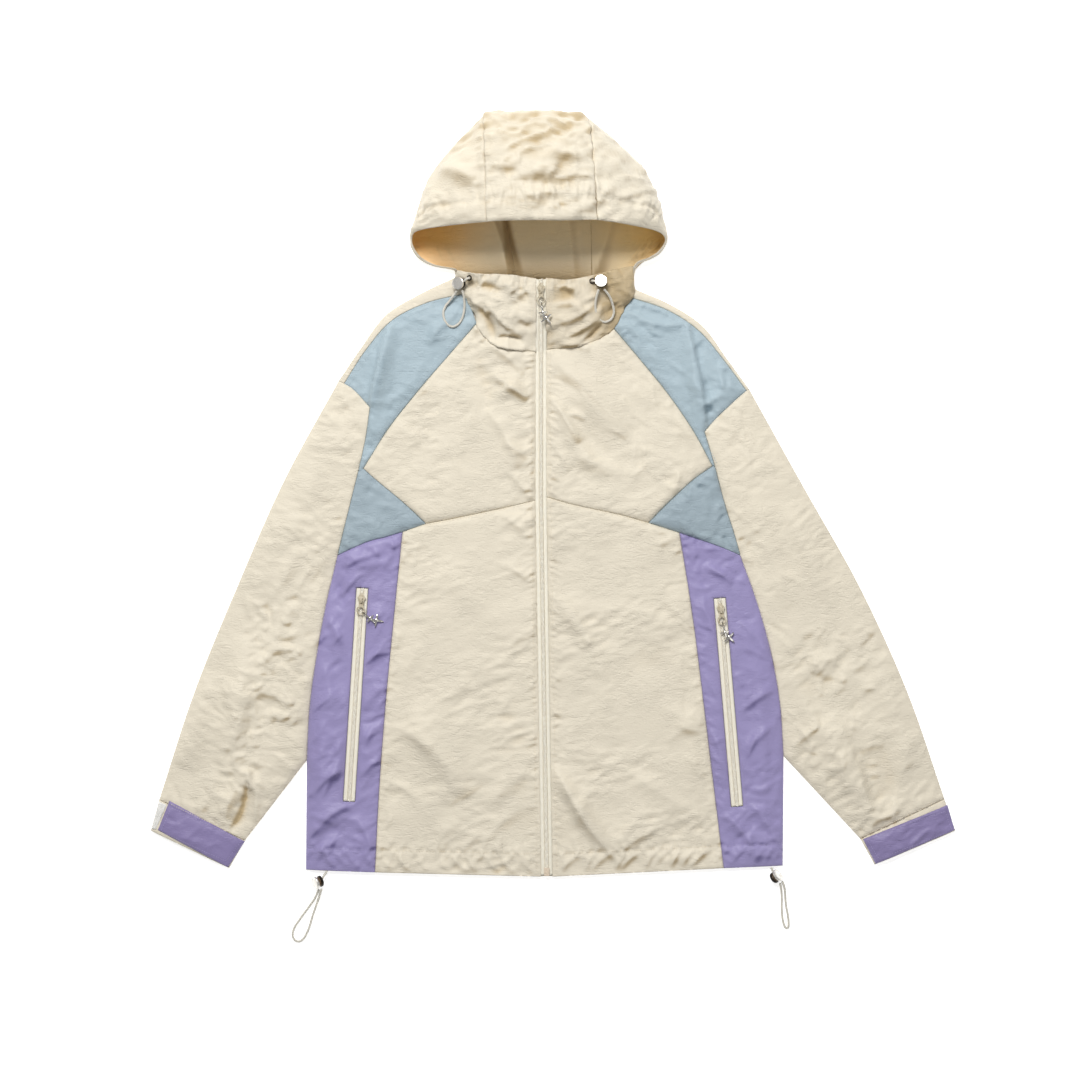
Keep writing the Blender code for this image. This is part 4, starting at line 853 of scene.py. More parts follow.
# %% Smaller creases by chance, along the way the cloth pulls
AREAS = (
    # x from, x to, y from, y to, how many, way they run, spread, length, height, reach
    (-200, 200, 20, 440, 300, 0.15, 0.5, 22, 0.42, 2.6),
    (-200, 200, 450, 650, 130, -0.5, 0.7, 24, 0.4, 2.8),
    (-460, -240, 60, 580, 240, -0.55, 0.5, 26, 0.42, 2.8),
    (240, 490, 60, 580, 240, 0.55, 0.5, 26, 0.42, 2.8),
    (-300, -170, 10, 400, 170, 0.8, 0.6, 28, 1.0, 3.2),
    (170, 300, 10, 400, 170, -0.8, 0.6, 28, 1.0, 3.2),
    (-250, -90, 480, 720, 120, 1.0, 0.8, 26, 0.7, 2.8),
    (90, 250, 480, 720, 160, -0.9, 0.8, 26, 0.85, 2.8),
    (-260, -140, 380, 480, 70, 0.2, 1.2, 20, 0.9, 2.8),
    (140, 260, 380, 480, 80, -0.2, 1.2, 20, 1.2, 2.8),
    (180, 240, 540, 640, 40, -0.4, 1.0, 24, 1.1, 3.2),
    (-140, 140, 780, 920, 260, 0.0, 0.6, 18, 1.05, 2.2),
    (-350, -290, 170, 340, 100, -0.3, 0.8, 18, 1.3, 2.8),
    (-378, -330, 110, 230, 60, -0.2, 0.9, 17, 1.3, 2.6),
    (-460, -350, 20, 95, 26, -0.5, 0.6, 26, 1.5, 3.6),
    (380, 495, 20, 95, 26, 0.5, 0.6, 26, 1.5, 3.6),
    (-95, -10, 640, 712, 60, -0.6, 0.7, 16, 0.9, 2.2),
    (10, 100, 640, 712, 60, 0.5, 0.7, 16, 0.9, 2.2),
    (320, 400, 110, 300, 90, 0.4, 0.8, 18, 1.1, 2.8),
)


def scatter_creases():
    for x_low, x_high, y_low, y_high, count, way, spread, length, height, reach in AREAS:
        for _ in range(count):
            middle = np.array((chance.uniform(x_low, x_high), chance.uniform(y_low, y_high)))
            turn = way + chance.normal(0.0, spread)
            half = 0.5 * length * chance.uniform(0.5, 1.6) * np.array((math.cos(turn), math.sin(turn)))
            rise = CHANCE_GAIN * height * chance.uniform(0.3, 1.3) * chance.choice((1.0, 1.0, -0.8))
            width = reach * chance.uniform(0.7, 1.5)
            add_crease(middle - half, middle + half, rise, width, width, chance.normal(0.0, 2.0), 0.6)


scatter_creases()
print("relief", round(float(relief.min()), 1), "to", round(float(relief.max()), 1), "mm")

# %% Puckers along the seams
def inward_of(curve, toward):
    """Which side of a seam a place lies on: 1 to its left, -1 to its right."""
    middle = curve[len(curve) // 2]
    run = curve[len(curve) // 2 + 1] - curve[len(curve) // 2 - 1]
    gap = np.asarray(toward) - middle
    return 1.0 if run[0] * gap[1] - run[1] * gap[0] > 0 else -1.0


PUCKERS = (
    # seam, toward (out, y), spacing, length, height, slant
    ("zip_lower", (100, 220), 6.2, 14, 1.0, 0.5),
    ("zip_upper", (100, 540), 6.2, 15, 1.3, 0.5),
    ("panel_seam", (100, 220), 7.4, 15, 0.6, 0.3),
    ("panel_seam", (260, 220), 9.0, 20, 0.85, 0.7),
    ("front_diagonal", (180, 640), 9.0, 9, 0.45),
    ("front_diagonal", (60, 540), 11.0, 14, 0.35),
    ("shoulder_seam", (150, 600), 10.0, 10, 0.4),
    ("armhole_front", (150, 560), 7.0, 9, 0.6),
    ("armhole_cap", (150, 560), 9.0, 12, 0.45),
    ("armhole_cap", (300, 500), 9.0, 12, 0.45),
    ("armhole_side", (180, 440), 9.0, 12, 0.4),
    ("armhole_side", (300, 400), 10.0, 16, 0.5),
    ("triangle_upper", (200, 440), 10.0, 10, 0.35),
    ("triangle_upper", (120, 480), 10.0, 12, 0.35),
    ("triangle_outer", (200, 440), 10.0, 10, 0.4),
    ("triangle_outer", (220, 340), 12.0, 16, 0.5),
    ("chest_seam", (60, 520), 12.0, 12, 0.3),
    ("chest_seam", (60, 380), 12.0, 12, 0.3),
    ("cuff_seam", (400, 120), 12.0, 20, 0.7),
    ("side_lower", (250, 80), 14.0, 12, 0.4),
    ("sleeve_inner", (360, 160), 12.0, 14, 0.5),
    ("sleeve_outer", (300, 300), 16.0, 18, 0.35),
    ("neck_front", (60, 560), 11.0, 16, 0.45),
)


def pucker_the_seams():
    for name, (out, y), *sizes in PUCKERS:
        for side in SIDES:
            curve = seam(side, name)
            start = 4.0 if name.startswith("zip") else PUCKER_START
            pucker_seam(curve, inward_of(curve, (SIDES[side] * out, y)), start, *sizes)


pucker_the_seams()

# %% The hem casing, drawn up by its cord
HEM_CASING = 27.0


def draw_up_the_hem():
    for side in SIDES:
        hem = np.vstack((seam(side, "hem_panel"), seam(side, "hem_front")[1:]))
        line = hem + (0.0, HEM_CASING)
        pucker_seam(line, inward_of(line, (0, 300)), PUCKER_START, 11.0, 20, 0.7, 0.4)
        pucker_seam(line, inward_of(line, (0, -300)), PUCKER_START, 13.0, 22, 0.9, -0.7)
        place = 6.0
        while place < length_of(line) - 8:
            at = int(place / THREAD_STEP)
            foot = line[min(at, len(line) - 1)]
            lean = SIDES[side] * chance.uniform(4, 12)
            add_crease(foot + (-lean, -23), foot + (lean, -2), chance.uniform(1.6, 4.0), 5.0, 3.4, 2.0, 0.6)
            start, end, bend = [chance.uniform(-1, 1) for _ in range(3)]
            add_crease(foot + (-6, start), foot + (8, end), -1.1, 2.4, 2.4, bend, 0.5, 0.4)
            place += chance.uniform(10, 26)


draw_up_the_hem()
PATCHES = np.clip(0.8 + 0.6 * crumple(30.0, 22.0, 0.2), 0.1, 2.2)
GRAINS = {}
for turn in (0.1, -0.5, 0.5):
    small = 1 - np.abs(crumple(5.4, 2.1, turn))
    middling = 1 - np.abs(crumple(9.0, 3.8, turn + 0.25))
    large = crumple(17.0, 7.0, turn - 0.2)
    GRAINS[turn] = PATCHES * (0.34 * small + 0.72 * middling + 0.50 * large)
WAVES = 0.6 * crumple(24.0, 14.0, 0.3) + 0.9 * crumple(52.0, 34.0, 0.6)
# FAR_SHADE and FAR_SIDE paint shade into the cloth's colour where it slopes away from the light;
# TOWARD_WINDOW is the side that the light comes from.
FAR_SHADE = 9.0
TOWARD_WINDOW = (-0.35, 0.94)  # the side that the daylight comes from, in the plan


def far_side(grid, toward=TOWARD_WINDOW):
    """How steeply the cloth falls away from the light at each place."""
    rise_y, rise_x = np.gradient(smoothed(grid, 1.6, 1.6))
    return np.clip(rise_x * toward[0] + rise_y * toward[1] - 0.06, 0.0, 0.55)


FAR_SIDE = far_side(relief + 0.6 * WAVES)
print("relief with puckers", round(float(relief.min()), 1), "to", round(float(relief.max()), 1), "mm")

# %% [markdown]
# ## Nylon
#
# The cloth is a light crinkled nylon. Close to, it has a plain weave and small crush marks. Shade is
# painted into its colour: it is warmer and darker in its dips, on slopes that face away from the light
# and near seams, a little darker along the crush marks, and inside the hood it is a painted golden glow
# with dark painted shade. One function makes every colour from a base colour, with the crush marks
# stretched across the cloth.

# %% Cloth finishes
def cloth_finish(name, base, hollow, crush, sheen, roughness):
    finish = Finish(name, roughness=roughness, sheen=sheen)
    finish.put("Sheen Roughness", 0.45)
    finish.put("Specular IOR Level", 0.32)
    broad = finish.noise(9.0, 3.0, 0.55)
    fine = finish.noise(1.0, 3.0, 0.55, 0.7, finish.stretched((0.0130, 0.0046, 0.009)))
    patch = finish.band(finish.noise(26.0), 0.38, 0.62, 0.35, 1.0)
    marks = (1 - abs(fine - 0.5) * 2.6) * patch
    small = finish.noise(1.0, 2.0, 0.5, 0.4, finish.stretched((0.0036, 0.0016, 0.003)))
    weave = finish.noise(2600.0, 1.0)
    # depth is the share of painted shade, read from the point attribute, that pulls the colour towards the
    # shade colour.
    depth = finish.band(finish.attribute("hollow"), -0.4, -6.0, 0.0, 0.85)
    tone = finish.blend(finish.band(broad, 0.3, 0.7) * 0.5, base, tinted(base, 0.95))
    # A little darker along the crush marks: painted shade in the small creases; the marks as bumps are
    # real.
    tone = finish.blend(finish.band(marks, 0.50, 1.0) * 0.16, tone, tinted(base, 0.86))
    # Inside the hood (the within attribute) the colour is a painted golden glow of light through the cloth,
    # more orange towards the wearer's right end and more yellow towards the left, and its shade colour is a
    # dark painted brown.
    sideways = finish.across_and_along(finish.places())[0] + 0.012
    painted_glow = finish.blend(finish.band(sideways, -0.05, -0.13), (0.88, 0.72, 0.44, 1.0),
                        (0.94, 0.56, 0.17, 1.0))
    painted_glow = finish.blend(finish.band(sideways, 0.04, 0.13), painted_glow, (1.0, 0.70, 0.27, 1.0))
    tone = finish.blend(finish.attribute("within"), tone, painted_glow)
    shade = finish.blend(finish.attribute("within"), hollow, (0.26, 0.15, 0.05, 1.0))
    finish.colour(finish.blend(depth, tone, shade))
    finish.rough(small, 0.2, 0.8, roughness - 0.07, roughness + 0.07)
    finish.bump(marks * crush + small * crush * 0.4 + weave * 0.05, 0.001)
    return finish


# The second colour of each cloth is the colour of its painted shade.
CLOTHS = {
    "cream": cloth_finish("cream_nylon", linear("ded5c2"), linear("b39c72"), 0.8, 0.1, 0.6),
    "blue": cloth_finish("blue_nylon", linear("a6b7bf"), linear("6f8592"), 0.6, 0.12, 0.55),
    # The front triangles' blue is a darker copy of the blue cloth: painted shade, because they face the
    # light differently.
    "low_blue": cloth_finish("low_blue_nylon", linear("9aa9b1"), linear("677b87"), 0.7, 0.12, 0.55),
    "purple": cloth_finish("purple_nylon", linear("968db8"), linear("544b7e"), 0.45, 0.2, 0.46),
    "tab": cloth_finish("tab_nylon", linear("877ca6"), linear("50477a"), 0.6, 0.2, 0.46),
}
print("cloths", ", ".join(CLOTHS))

# %% [markdown]
# ## Cut, fill and lay a piece
#
# A cut piece is an outline filled with triangles. A ring of points just inside the outline lets its edge
# turn down sharply, as cloth does at a seam. The top skin takes the height and the relief, the lower one
# follows it a wall's thickness below, and a rim closes the two.

# %% Fill an outline
RING_GAP = 1.3  # from the rim to the ring of points inside it, millimetres


def close_loop(loop):
    return np.vstack((loop, loop[:1]))


def drawn_in(loop, amount):
    """A closed loop moved to its left by amount."""
    run = np.roll(loop, -1, axis=0) - loop
    normal = unit(np.column_stack((-run[:, 1], run[:, 0])))
    before = np.roll(normal, 1, axis=0)
    share = np.maximum(1 + np.sum(normal * before, axis=1, keepdims=True), 0.35)
    return loop + (normal + before) / share * amount


def area_of(loop):
    x, y = loop[:, 0], loop[:, 1]
    return 0.5 * float(np.sum(x * np.roll(y, -1) - np.roll(x, -1) * y))


def fill_outline(rim, holes, step, gap=0.1):
    """Points, triangles and each point's distance to the rim."""
    loops = []
    for loop, sign in [(rim, 1.0)] + [(hole, -1.0) for hole in holes]:
        if area_of(loop) * sign < 0:
            loop = loop[::-1]
        loops.append(drawn_in(loop, gap))
    fixed, edges = [], []
    for loop in loops:
        start = len(fixed)
        fixed.extend(tuple(point) for point in loop)
        edges.extend((start + i, start + (i + 1) % len(loop)) for i in range(len(loop)))

    def to_rim(places):
        return np.min([distance_to(close_loop(loop), *places.T) for loop in loops], axis=0)

    def on_cloth(places):
        kept = inside(loops[0], *places.T)
        for hole in loops[1:]:
            kept &= ~inside(hole, *places.T)
        return kept

    ring = np.vstack([drawn_in(loop, RING_GAP) for loop in loops])
    ring = ring[to_rim(ring) > 1.1]
    low, high = rim.min(axis=0), rim.max(axis=0)
    row = np.arange(low[0], high[0], step)
    levels = np.arange(low[1], high[1], step * math.sqrt(3) / 2)
    lattice = np.vstack([np.column_stack((row + 0.5 * step * (i % 2), np.full(len(row), y)))
                         for i, y in enumerate(levels)])
    lattice = lattice[on_cloth(lattice)]
    lattice = lattice[to_rim(lattice) > RING_GAP + 0.55 * step]
    points = np.vstack((np.array(fixed), ring, lattice))
    found = delaunay_2d_cdt([Vector(point) for point in points], edges, [], 0, 1e-5)
    plan = np.array([tuple(point) for point in found[0]])
    triangles = np.array([tuple(face) for face in found[2]])
    kept = on_cloth(plan[triangles].mean(axis=1))
    return plan, triangles[kept], to_rim(plan)


def closed_wall(skin, lining, faces):
    """Points and faces of a wall between two skins that share one set of faces."""
    count = len(skin)
    corners = faces.shape[1]
    sides = np.vstack([faces[:, [i, (i + 1) % corners]] for i in range(corners)])
    known = {(a, b) for a, b in sides.tolist()}
    rim = [(b, a, a + count, b + count) for a, b in known if (b, a) not in known]
    return np.vstack((skin, lining)), faces.tolist() + (faces[:, ::-1] + count).tolist() + rim


def mark(piece, name, values):
    layer = piece.data.attributes.new(name, "FLOAT", "POINT")
    layer.data.foreach_set("value", np.asarray(values, np.float32))


# %% [markdown]
# ## Printing a sheet's size
#
# Each piece of cloth prints the size that it was cut to. The smallest rectangle round its outline gives the
# width and length, and the outline's own area gives the rest.

# %% The smallest rectangle round a cut
def flat_size(loop):
    best = None
    for degrees in range(0, 90, 2):
        turn = math.radians(degrees)
        across = loop @ np.array((math.cos(turn), math.sin(turn)))
        along = loop @ np.array((-math.sin(turn), math.cos(turn)))
        sides = sorted((np.ptp(across), np.ptp(along)))
        if best is None or sides[0] * sides[1] < best[0] * best[1]:
            best = sides
    return best


def declare_sheet(piece, loop, spare=1.02):
    width, length = [side * spare * MM for side in flat_size(loop)]
    area = abs(area_of(loop)) * spare ** 2 * MM ** 2
    width = min(width, area / (0.5 * length))  # a bowed strip is measured along its middle
    print(f"{piece.name}: cut {width * 1000:.0f} x {length * 1000:.0f} mm, {area * 1e4:.0f} cm2")


# %% Lay the upper pieces
ROLLED_PIECES = ("shoulder_strip", "side_panel", "sleeve_top", "cuff_top")
POCKET_REACH = 7.2
UPPER_WALL = 1.3
UPPER_LOWEST = 1.65  # just above the layer on the floor


def pocket_ends(side):
    top, bottom = landmark(side, "pocket_top"), landmark(side, "pocket_bottom")
    return top, bottom, (bottom - top) / np.linalg.norm(bottom - top)


def pocket_slot(side, step=THREAD_STEP):
    top, bottom, run = pocket_ends(side)
    across = np.array((-run[1], run[0])) * POCKET_REACH
    corners = np.array((top + across, bottom + across, bottom - across, top - across))
    loop = []
    for a, b in zip(corners, np.roll(corners, -1, axis=0)):
        loop.extend(evenly(np.array((a, b)), max(1, round(math.dist(a, b) / step)))[:-1])
    return np.array(loop)


def lie_of(name, side, x, y, to_rim):
    """Top height of a piece's cloth, and the shade painted into its colour there."""
    _, turn, strength, _ = UPPER_PIECES[name]
    if side == "l" and name in ("sleeve_top", "cuff_top"):
        turn = -turn
    crush = read_grid(GRAINS[turn], x, y) * strength + read_grid(WAVES, x, y)
    quiet = 1 - np.exp(-to_rim / 3.0)
    if name in ROLLED_PIECES:
        quiet = quiet * (1 - 0.7 * np.exp(-to_rim / 7.0))
    lie = crush * quiet + read_grid(relief, x, y) * (0.35 + 0.65 * quiet)
    shown = 1.0
    if name == "front_chest":  # the collar covers this rim, so it needn't turn down
        shown = 1 - np.exp(-(distance_to(seam(side, "neck_front"), x, y) / 5.0) ** 2)
    seam_turn = np.exp(-(to_rim / 1.3) ** 1.5) * shown
    top = np.maximum(surface_height(x, y) + lie - seam_turn, 2.0)
    # Painted shade: darker in the cloth's dips, on slopes that face away from the light, and near its rim.
    shade = FAR_SHADE * read_grid(FAR_SIDE, x, y)
    return top, np.minimum(lie, 0.0) * 0.5 - shade - 0.5 * np.exp(-to_rim / 2.0) * shown


def lay_upper_pieces():
    total = 0
    for side in SIDES:
        for name, (cloth, _, _, seams) in UPPER_PIECES.items():
            rim = outline(side, seams)
            holes = [pocket_slot(side)] if name == "side_panel" else []
            plan, triangles, to_rim = fill_outline(rim, holes, THREAD_STEP)
            top, hollow = lie_of(name, side, *plan.T, to_rim)
            bottom = np.maximum(top - UPPER_WALL, UPPER_LOWEST)
            top = np.maximum(top, bottom + 0.3)
            skins = (np.column_stack((plan, top)), np.column_stack((plan, bottom)))
            points, faces = closed_wall(*skins, triangles)
            slot = cloth.replace("low_", "")
            piece = add_piece(f"{name}_{side}_cloth", points, faces, CLOTHS[cloth], slot)
            # The painted shade goes to both skins as a point attribute.
            mark(piece, "hollow", np.concatenate((hollow, hollow)))
            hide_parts(f"{name}_{side}")
            declare_sheet(piece, rim)
            total += len(faces)
    print("upper triangles", total)


lay_upper_pieces()

# %% [markdown]
# ## The layer on the floor
#
# The back, the undersides of the sleeves and of the cuffs lie flat and carry the rest. They show as a
# second edge all round and from below, so they are thin flat pieces with softened rims.

# %% Lay the lower pieces
def joined(side, names, step):
    """One line through several seams, end to end."""
    first, *others = names
    return np.vstack([seam(side, first, step)] + [seam(side, name, step)[1:] for name in others])


def back_outline():
    right, left = [joined(side, BACK_SEAMS, THREAD_STEP) for side in SIDES]
    right[-1] = (right[-1] + left[-1]) / 2
    return np.vstack((right, left[-2::-1]))


def lay_flat(name, rim, step=7.0):
    plan, triangles, to_rim = fill_outline(rim, [], step)
    softened = 0.45 * np.exp(-to_rim ** 2)
    skins = (np.column_stack((plan, 1.45 - softened)), np.column_stack((plan, softened)))
    points, faces = closed_wall(*skins, triangles)
    piece = add_piece(f"{name}_cloth", points, faces, CLOTHS["cream"], "cream")
    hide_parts(name)
    declare_sheet(piece, rim, 1.0)


def lay_lower_pieces():
    lay_flat("back", back_outline())
    for side in SIDES:
        lay_flat(f"sleeve_under_{side}", outline(side, UPPER_PIECES["sleeve_top"][-1]))
        lay_flat(f"cuff_under_{side}", outline(side, UPPER_PIECES["cuff_top"][-1]))


lay_lower_pieces()

# %% [markdown]
# ## Walls from grids
#
# The collar and the hood are curved, so each is a grid of points that runs along the neck or the face
# opening one way and up the cloth the other. The inner skin lies a wall's thickness behind the outer.

# %% A wall from a grid
WALL = 1.4


def grid_normals(grid):
    along_rows = np.gradient(grid, axis=0)
    along_columns = np.gradient(grid, axis=1)
    normal = np.cross(along_columns, along_rows)
    return normal / np.maximum(np.linalg.norm(normal, axis=2, keepdims=True), 1e-9)


def grid_wall(name, outer, inner, finish, slot):
    rows, columns = outer.shape[:2]
    index = np.arange(rows * columns).reshape(rows, columns)
    quads = np.stack((index[:-1, :-1], index[:-1, 1:], index[1:, 1:], index[1:, :-1]), axis=-1)
    quads = quads.reshape(-1, 4)
    skin, lining = outer.reshape(-1, 3), inner.reshape(-1, 3)
    front, behind = skin[quads], lining[quads]
    facing = np.cross(front[:, 1] - front[:, 0], front[:, 2] - front[:, 0])
    if np.sum(facing * (front.mean(axis=1) - behind.mean(axis=1))) < 0:
        quads = quads[:, ::-1]
    return add_piece(name, *closed_wall(skin, lining, quads), finish, slot)


# %% [markdown]
# ## The standing collar
#
# The collar climbs from the neck seam to its top edge, and a line of gathers runs along that edge where
# the elastic draws it in.

# %% Raise the collar
NECK_LEVEL = 631.0
COLLAR_LEVEL = 716.0
COLLAR_TOP_Z = 27.0


def collar_curves(side, step=2.2):
    low = joined(side, ("neck_join", "neck_side", "neck_front"), step)
    low = evenly(low, round(length_of(low) / step))
    high = evenly(seam(side, "collar_top", step), len(low) - 1)
    return low, high


def raise_collar(side):
    low, high = collar_curves(side)
    rows, columns = 36, len(low)
    base = surface_height(*low.T) + 0.35 * read_over(smoothed(relief, 3.0, 3.0), low)
    corner_z = 15.0 if side == "r" else 19.0
    share = np.linspace(0, 1, columns)
    top = corner_z + (COLLAR_TOP_Z - corner_z) * np.sin(math.pi / 2 * np.minimum(share * 1.6, 1))
    gather = crumple(2.0, 9.0, 0.0)[:rows * 3:3, :columns * 2:2]
    soft = crumple(8.0, 14.0, 0.4)[100:100 + rows * 2:2, 100:100 + columns * 2:2]
    grid = np.zeros((rows, columns, 3))
    start = low - unit(high - low) * 0.7
    for row in range(rows):
        v = row / (rows - 1)
        wave = 1.1 * np.sin(share * 9 * math.pi) * v ** 2 * np.sin(math.pi * share)
        grid[row, :, :2] = start + (high - start) * v
        grid[row, :, 2] = base - 0.3 + (top - base + 0.3) * math.sin(math.pi / 2 * v) + wave
    v = np.linspace(0, 1, rows)[:, None]
    ends = np.sin(math.pi * share)[None, :] ** 0.3
    normal = grid_normals(grid)
    normal *= np.sign(normal[..., 2:3])
    strokes = read_over(relief, grid) + read_over(GRAINS[0.1], grid)
    pull = (gather * v ** 2 + 1.3 * soft * np.sin(math.pi * v) ** 0.5) * ends + 1.25 * strokes
    edge = -0.8 * np.exp(-((1 - v) * 60 / 1.2) ** 2) - 0.4 * np.exp(-(v * 60) ** 2)
    outer = grid + normal * (pull + edge)[..., None]
    piece = grid_wall(f"collar_{side}_cloth", outer, outer - WALL * normal, CLOTHS["cream"], "cream")
    # Painted shade: darker on slopes that face away from the light and in the collar's dips, all over the
    # wearer's left half, and more towards both outer ends, where the collar turns away from the light.
    shade = FAR_SHADE * read_over(FAR_SIDE, grid)
    turned = 2.0 if side == "l" else 0.0
    shade += turned + (1.0 + turned) * np.clip((np.abs(grid[..., 0]) - 56) / 28, 0, 1)
    mark(piece, "hollow", np.tile((np.minimum(pull + edge, 0.0) * 0.6 - shade).reshape(-1), 2))
    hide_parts(f"collar_{side}")
    declare_sheet(piece, np.vstack((low, high[::-1])), 1.08)


for side in SIDES:
    raise_collar(side)

# %% [markdown]
# ## The hood
#
# The hood lies on its back with the face opening up. Ribs run from the opening over the crown to the fold
# on the floor and back under to the neck. The two seams of the centre strip follow ribs, so splitting the
# grid there gives the three pieces.

# %% Ribs of the hood
HOOD_RIBS = (
    # place on the opening, place on the fold, x at the neck
    ((-100.6, 722.5, 4.6), (-102.4, 722.2), -99.5),
    ((-103, 729, 12), (-106, 728), -96),
    ((-128, 734, 13), (-131, 733), -90),
    ((-146, 745, 18), (-149, 744), -83),
    ((-154, 762, 28), (-157, 763), -76),
    ((-146, 771, 42), (-153, 785), -66),
    ((-110, 775, 62), (-128, 848), -50),
    ((-63, 778, 78), (-68, 911), -29),
    ((-34, 779, 84), (-36, 917), -8),
    ((0, 779, 86), (-2, 919), 16),
    ((34, 779, 84), (30, 917), 38),
    ((67, 780, 78), (58, 909), 61),
    ((110, 775, 62), (124, 846), 74),
    ((139, 770, 42), (147, 788), 83),
    ((148, 762, 28), (151, 764), 90),
    ((141, 750, 20), (144, 749), 95),
    ((129, 742, 17), (132, 741), 99),
    ((114, 736, 15), (117, 735), 103),
    ((107.5, 722, 7), (111.5, 721), 106),
    ((109.6, 710, 4.4), (111.6, 709.5), 108.5),
)
HOOD_PARTS = {  # first and last rib
    "hood_side_r": (0, 7),
    "hood_centre": (7, 11),
    "hood_side_l": (11, 19),
}
RIB_STEPS = 20  # ribs from one named rib to the next
RIB_ARC = 64  # points over the crown
RIB_UNDER = 16  # points back under to the neck
RIB_FULLNESS = 0.86
HOOD_FOLD_Z = 3.2
HOOD_SEAM_GAP = 0.02


def neck_line_y(x):
    right, left = landmark("r", "neck_back"), landmark("l", "neck_back")
    return right[1] + (left[1] - right[1]) * (x - right[0]) / (left[0] - right[0]) + 0.6


def under_path(fold, neck):
    """Points from the fold, along the floor and round inside the opening, to the neck."""
    across = abs(neck[0] - fold[0])
    bend = fold + 0.4 * (neck - fold) + np.array((0.0, 0.45 * across))
    pace = 2 * np.linalg.norm(bend - fold)
    turned = min(2.2 / pace, 0.3)
    shares = [min(0.5 / pace, 0.1)] + list(np.linspace(turned, 1.0, RIB_UNDER + 1))
    heights = [1.0] + [0.0] * (RIB_UNDER + 1)
    return [(*((1 - s) ** 2 * fold + 2 * s * (1 - s) * bend + s ** 2 * neck), z)
            for s, z in zip(shares, heights)]


def hood_grid():
    """Outer points of the whole hood, rib by rib."""
    opening = smooth_through([row[0] for row in HOOD_RIBS], RIB_STEPS)
    fold = smooth_through([row[1] for row in HOOD_RIBS], RIB_STEPS)
    neck = smooth_through([(row[2], 0.0) for row in HOOD_RIBS], RIB_STEPS)[:, 0]
    ribs = []
    for (x, y, z), (fold_x, fold_y), neck_x in zip(opening, fold, neck):
        rib = []
        hump = 7.0 * min(1.0, math.hypot(fold_x - x, fold_y - y) / 120) ** 2
        rise = max(z, HOOD_FOLD_Z + 1.0) - HOOD_FOLD_Z
        for step in range(RIB_ARC + 1):
            angle = math.pi / 2 * step / RIB_ARC
            reach = math.sin(angle) ** RIB_FULLNESS
            drop = math.cos(angle) ** RIB_FULLNESS if step < RIB_ARC else 0.0
            rib.append((x + (fold_x - x) * reach, y + (fold_y - y) * reach,
                        HOOD_FOLD_Z + rise * drop + hump * math.sin(2 * angle)))
        rib += under_path(np.array((fold_x, fold_y)), np.array((neck_x, neck_line_y(neck_x))))
        ribs.append(rib)
    return np.array(ribs)


# %% Folds, seams and brim of the hood
def hood_relief(part, name):
    """How far each point of a hood piece stands out from the smooth hood."""
    rows, columns = part.shape[:2]
    outside = np.zeros((rows, columns))
    outside[:, :RIB_ARC] = np.clip((RIB_ARC - np.arange(RIB_ARC)) / 16.0, 0.0, 1.0)
    travelled = np.zeros((rows, columns))
    travelled[:, 1:] = np.cumsum(np.linalg.norm(np.diff(part, axis=1), axis=2), axis=1)
    span = travelled[:, RIB_ARC:RIB_ARC + 1]
    room = np.clip(span / 60.0, 0.0, 1.0)
    fine = read_over(GRAINS[0.1], part) * 1.7 + read_over(WAVES, part) * 0.6
    lift = (fine + read_over(relief, part)) * outside * room
    casing = 25.0 * np.clip(span / 80.0, 0.3, 1.0)
    share = travelled / casing
    roll = np.where(share < 1, np.sin(math.pi * np.clip(share, 0, 1)), 0.0)
    gather = np.interp(travelled_along(part[:, 0]), GRID_PLACES, GATHERS)
    fade = np.exp(-np.abs(share - 1) * 1.4) * outside
    lift += 2.6 * roll * room + 1.6 * gather[:, None] * fade * room
    lift -= 2.0 * np.exp(-(travelled - casing) ** 2 / 5.0) * outside * room
    for edge in (0, -1):
        if (name, edge) in (("hood_side_r", 0), ("hood_side_l", -1)):
            continue
        gap = np.linalg.norm(part - part[edge][None], axis=2)
        tucks, strength = (TUCKS[0], 2.2) if name == "hood_centre" else (TUCKS[1], 1.0)
        tuck = np.interp(travelled[edge], GRID_PLACES, tucks)
        lift += strength * tuck[None, :] * np.exp(-gap / 9.0) * (1 - np.exp(-(gap / 3.0) ** 2)) * outside
        lift -= 0.5 * np.exp(-(gap / 1.2) ** 1.5) * outside
    return lift


GRID_PLACES = np.arange(GRID_SHAPE[1]) * 1.0
GATHERS = crumple(3.2, 1.0, 0.0)[300]
TUCKS = (crumple(2.6, 1.0, 0.0)[200], crumple(3.4, 1.0, 0.0)[500])
HOOD_CREASES = (
    # from x, y, to x, y, height, reach to its left and right, bend, crispness
    (-122, 842, -76, 828, 5.0, 12, 9, 4, 0.6), (-106, 822, -70, 804, -1.4, 9, 9, 0, 0.3),
    (-24, 868, 6, 880, 2.6, 5, 9, 3, 0.7), (4, 880, 40, 866, 2.6, 5, 9, 3, 0.7),
    (-30, 856, -4, 866, 1.8, 5, 7, 2, 0.6), (6, 864, 44, 850, 2.2, 5, 8, 3, 0.6),
    (-50, 842, -22, 850, 2.0, 5, 7, 2, 0.6), (-12, 846, 30, 838, -2.2, 9, 9, 4, 0.3),
    (-36, 826, 34, 830, 2.2, 10, 8, 8, 0.4), (-56, 880, -20, 862, 2.4, 10, 10, 3, 0.3),
    (34, 862, 62, 844, 2.6, 5, 6, 3, 0.6), (-22, 804, 18, 812, 2.2, 6, 6, 3, 0.6),
    (70, 860, 104, 830, 2.4, 11, 10, 3, 0.4), (68, 812, 104, 806, 2.4, 6, 6, 3, 0.6),
    (-140, 800, -112, 812, 2.4, 8, 8, 3, 0.5), (-64, 846, -40, 838, 2.2, 5, 5, 2, 0.7),
    (40, 824, 64, 836, 2.0, 5, 5, 2, 0.7),
)
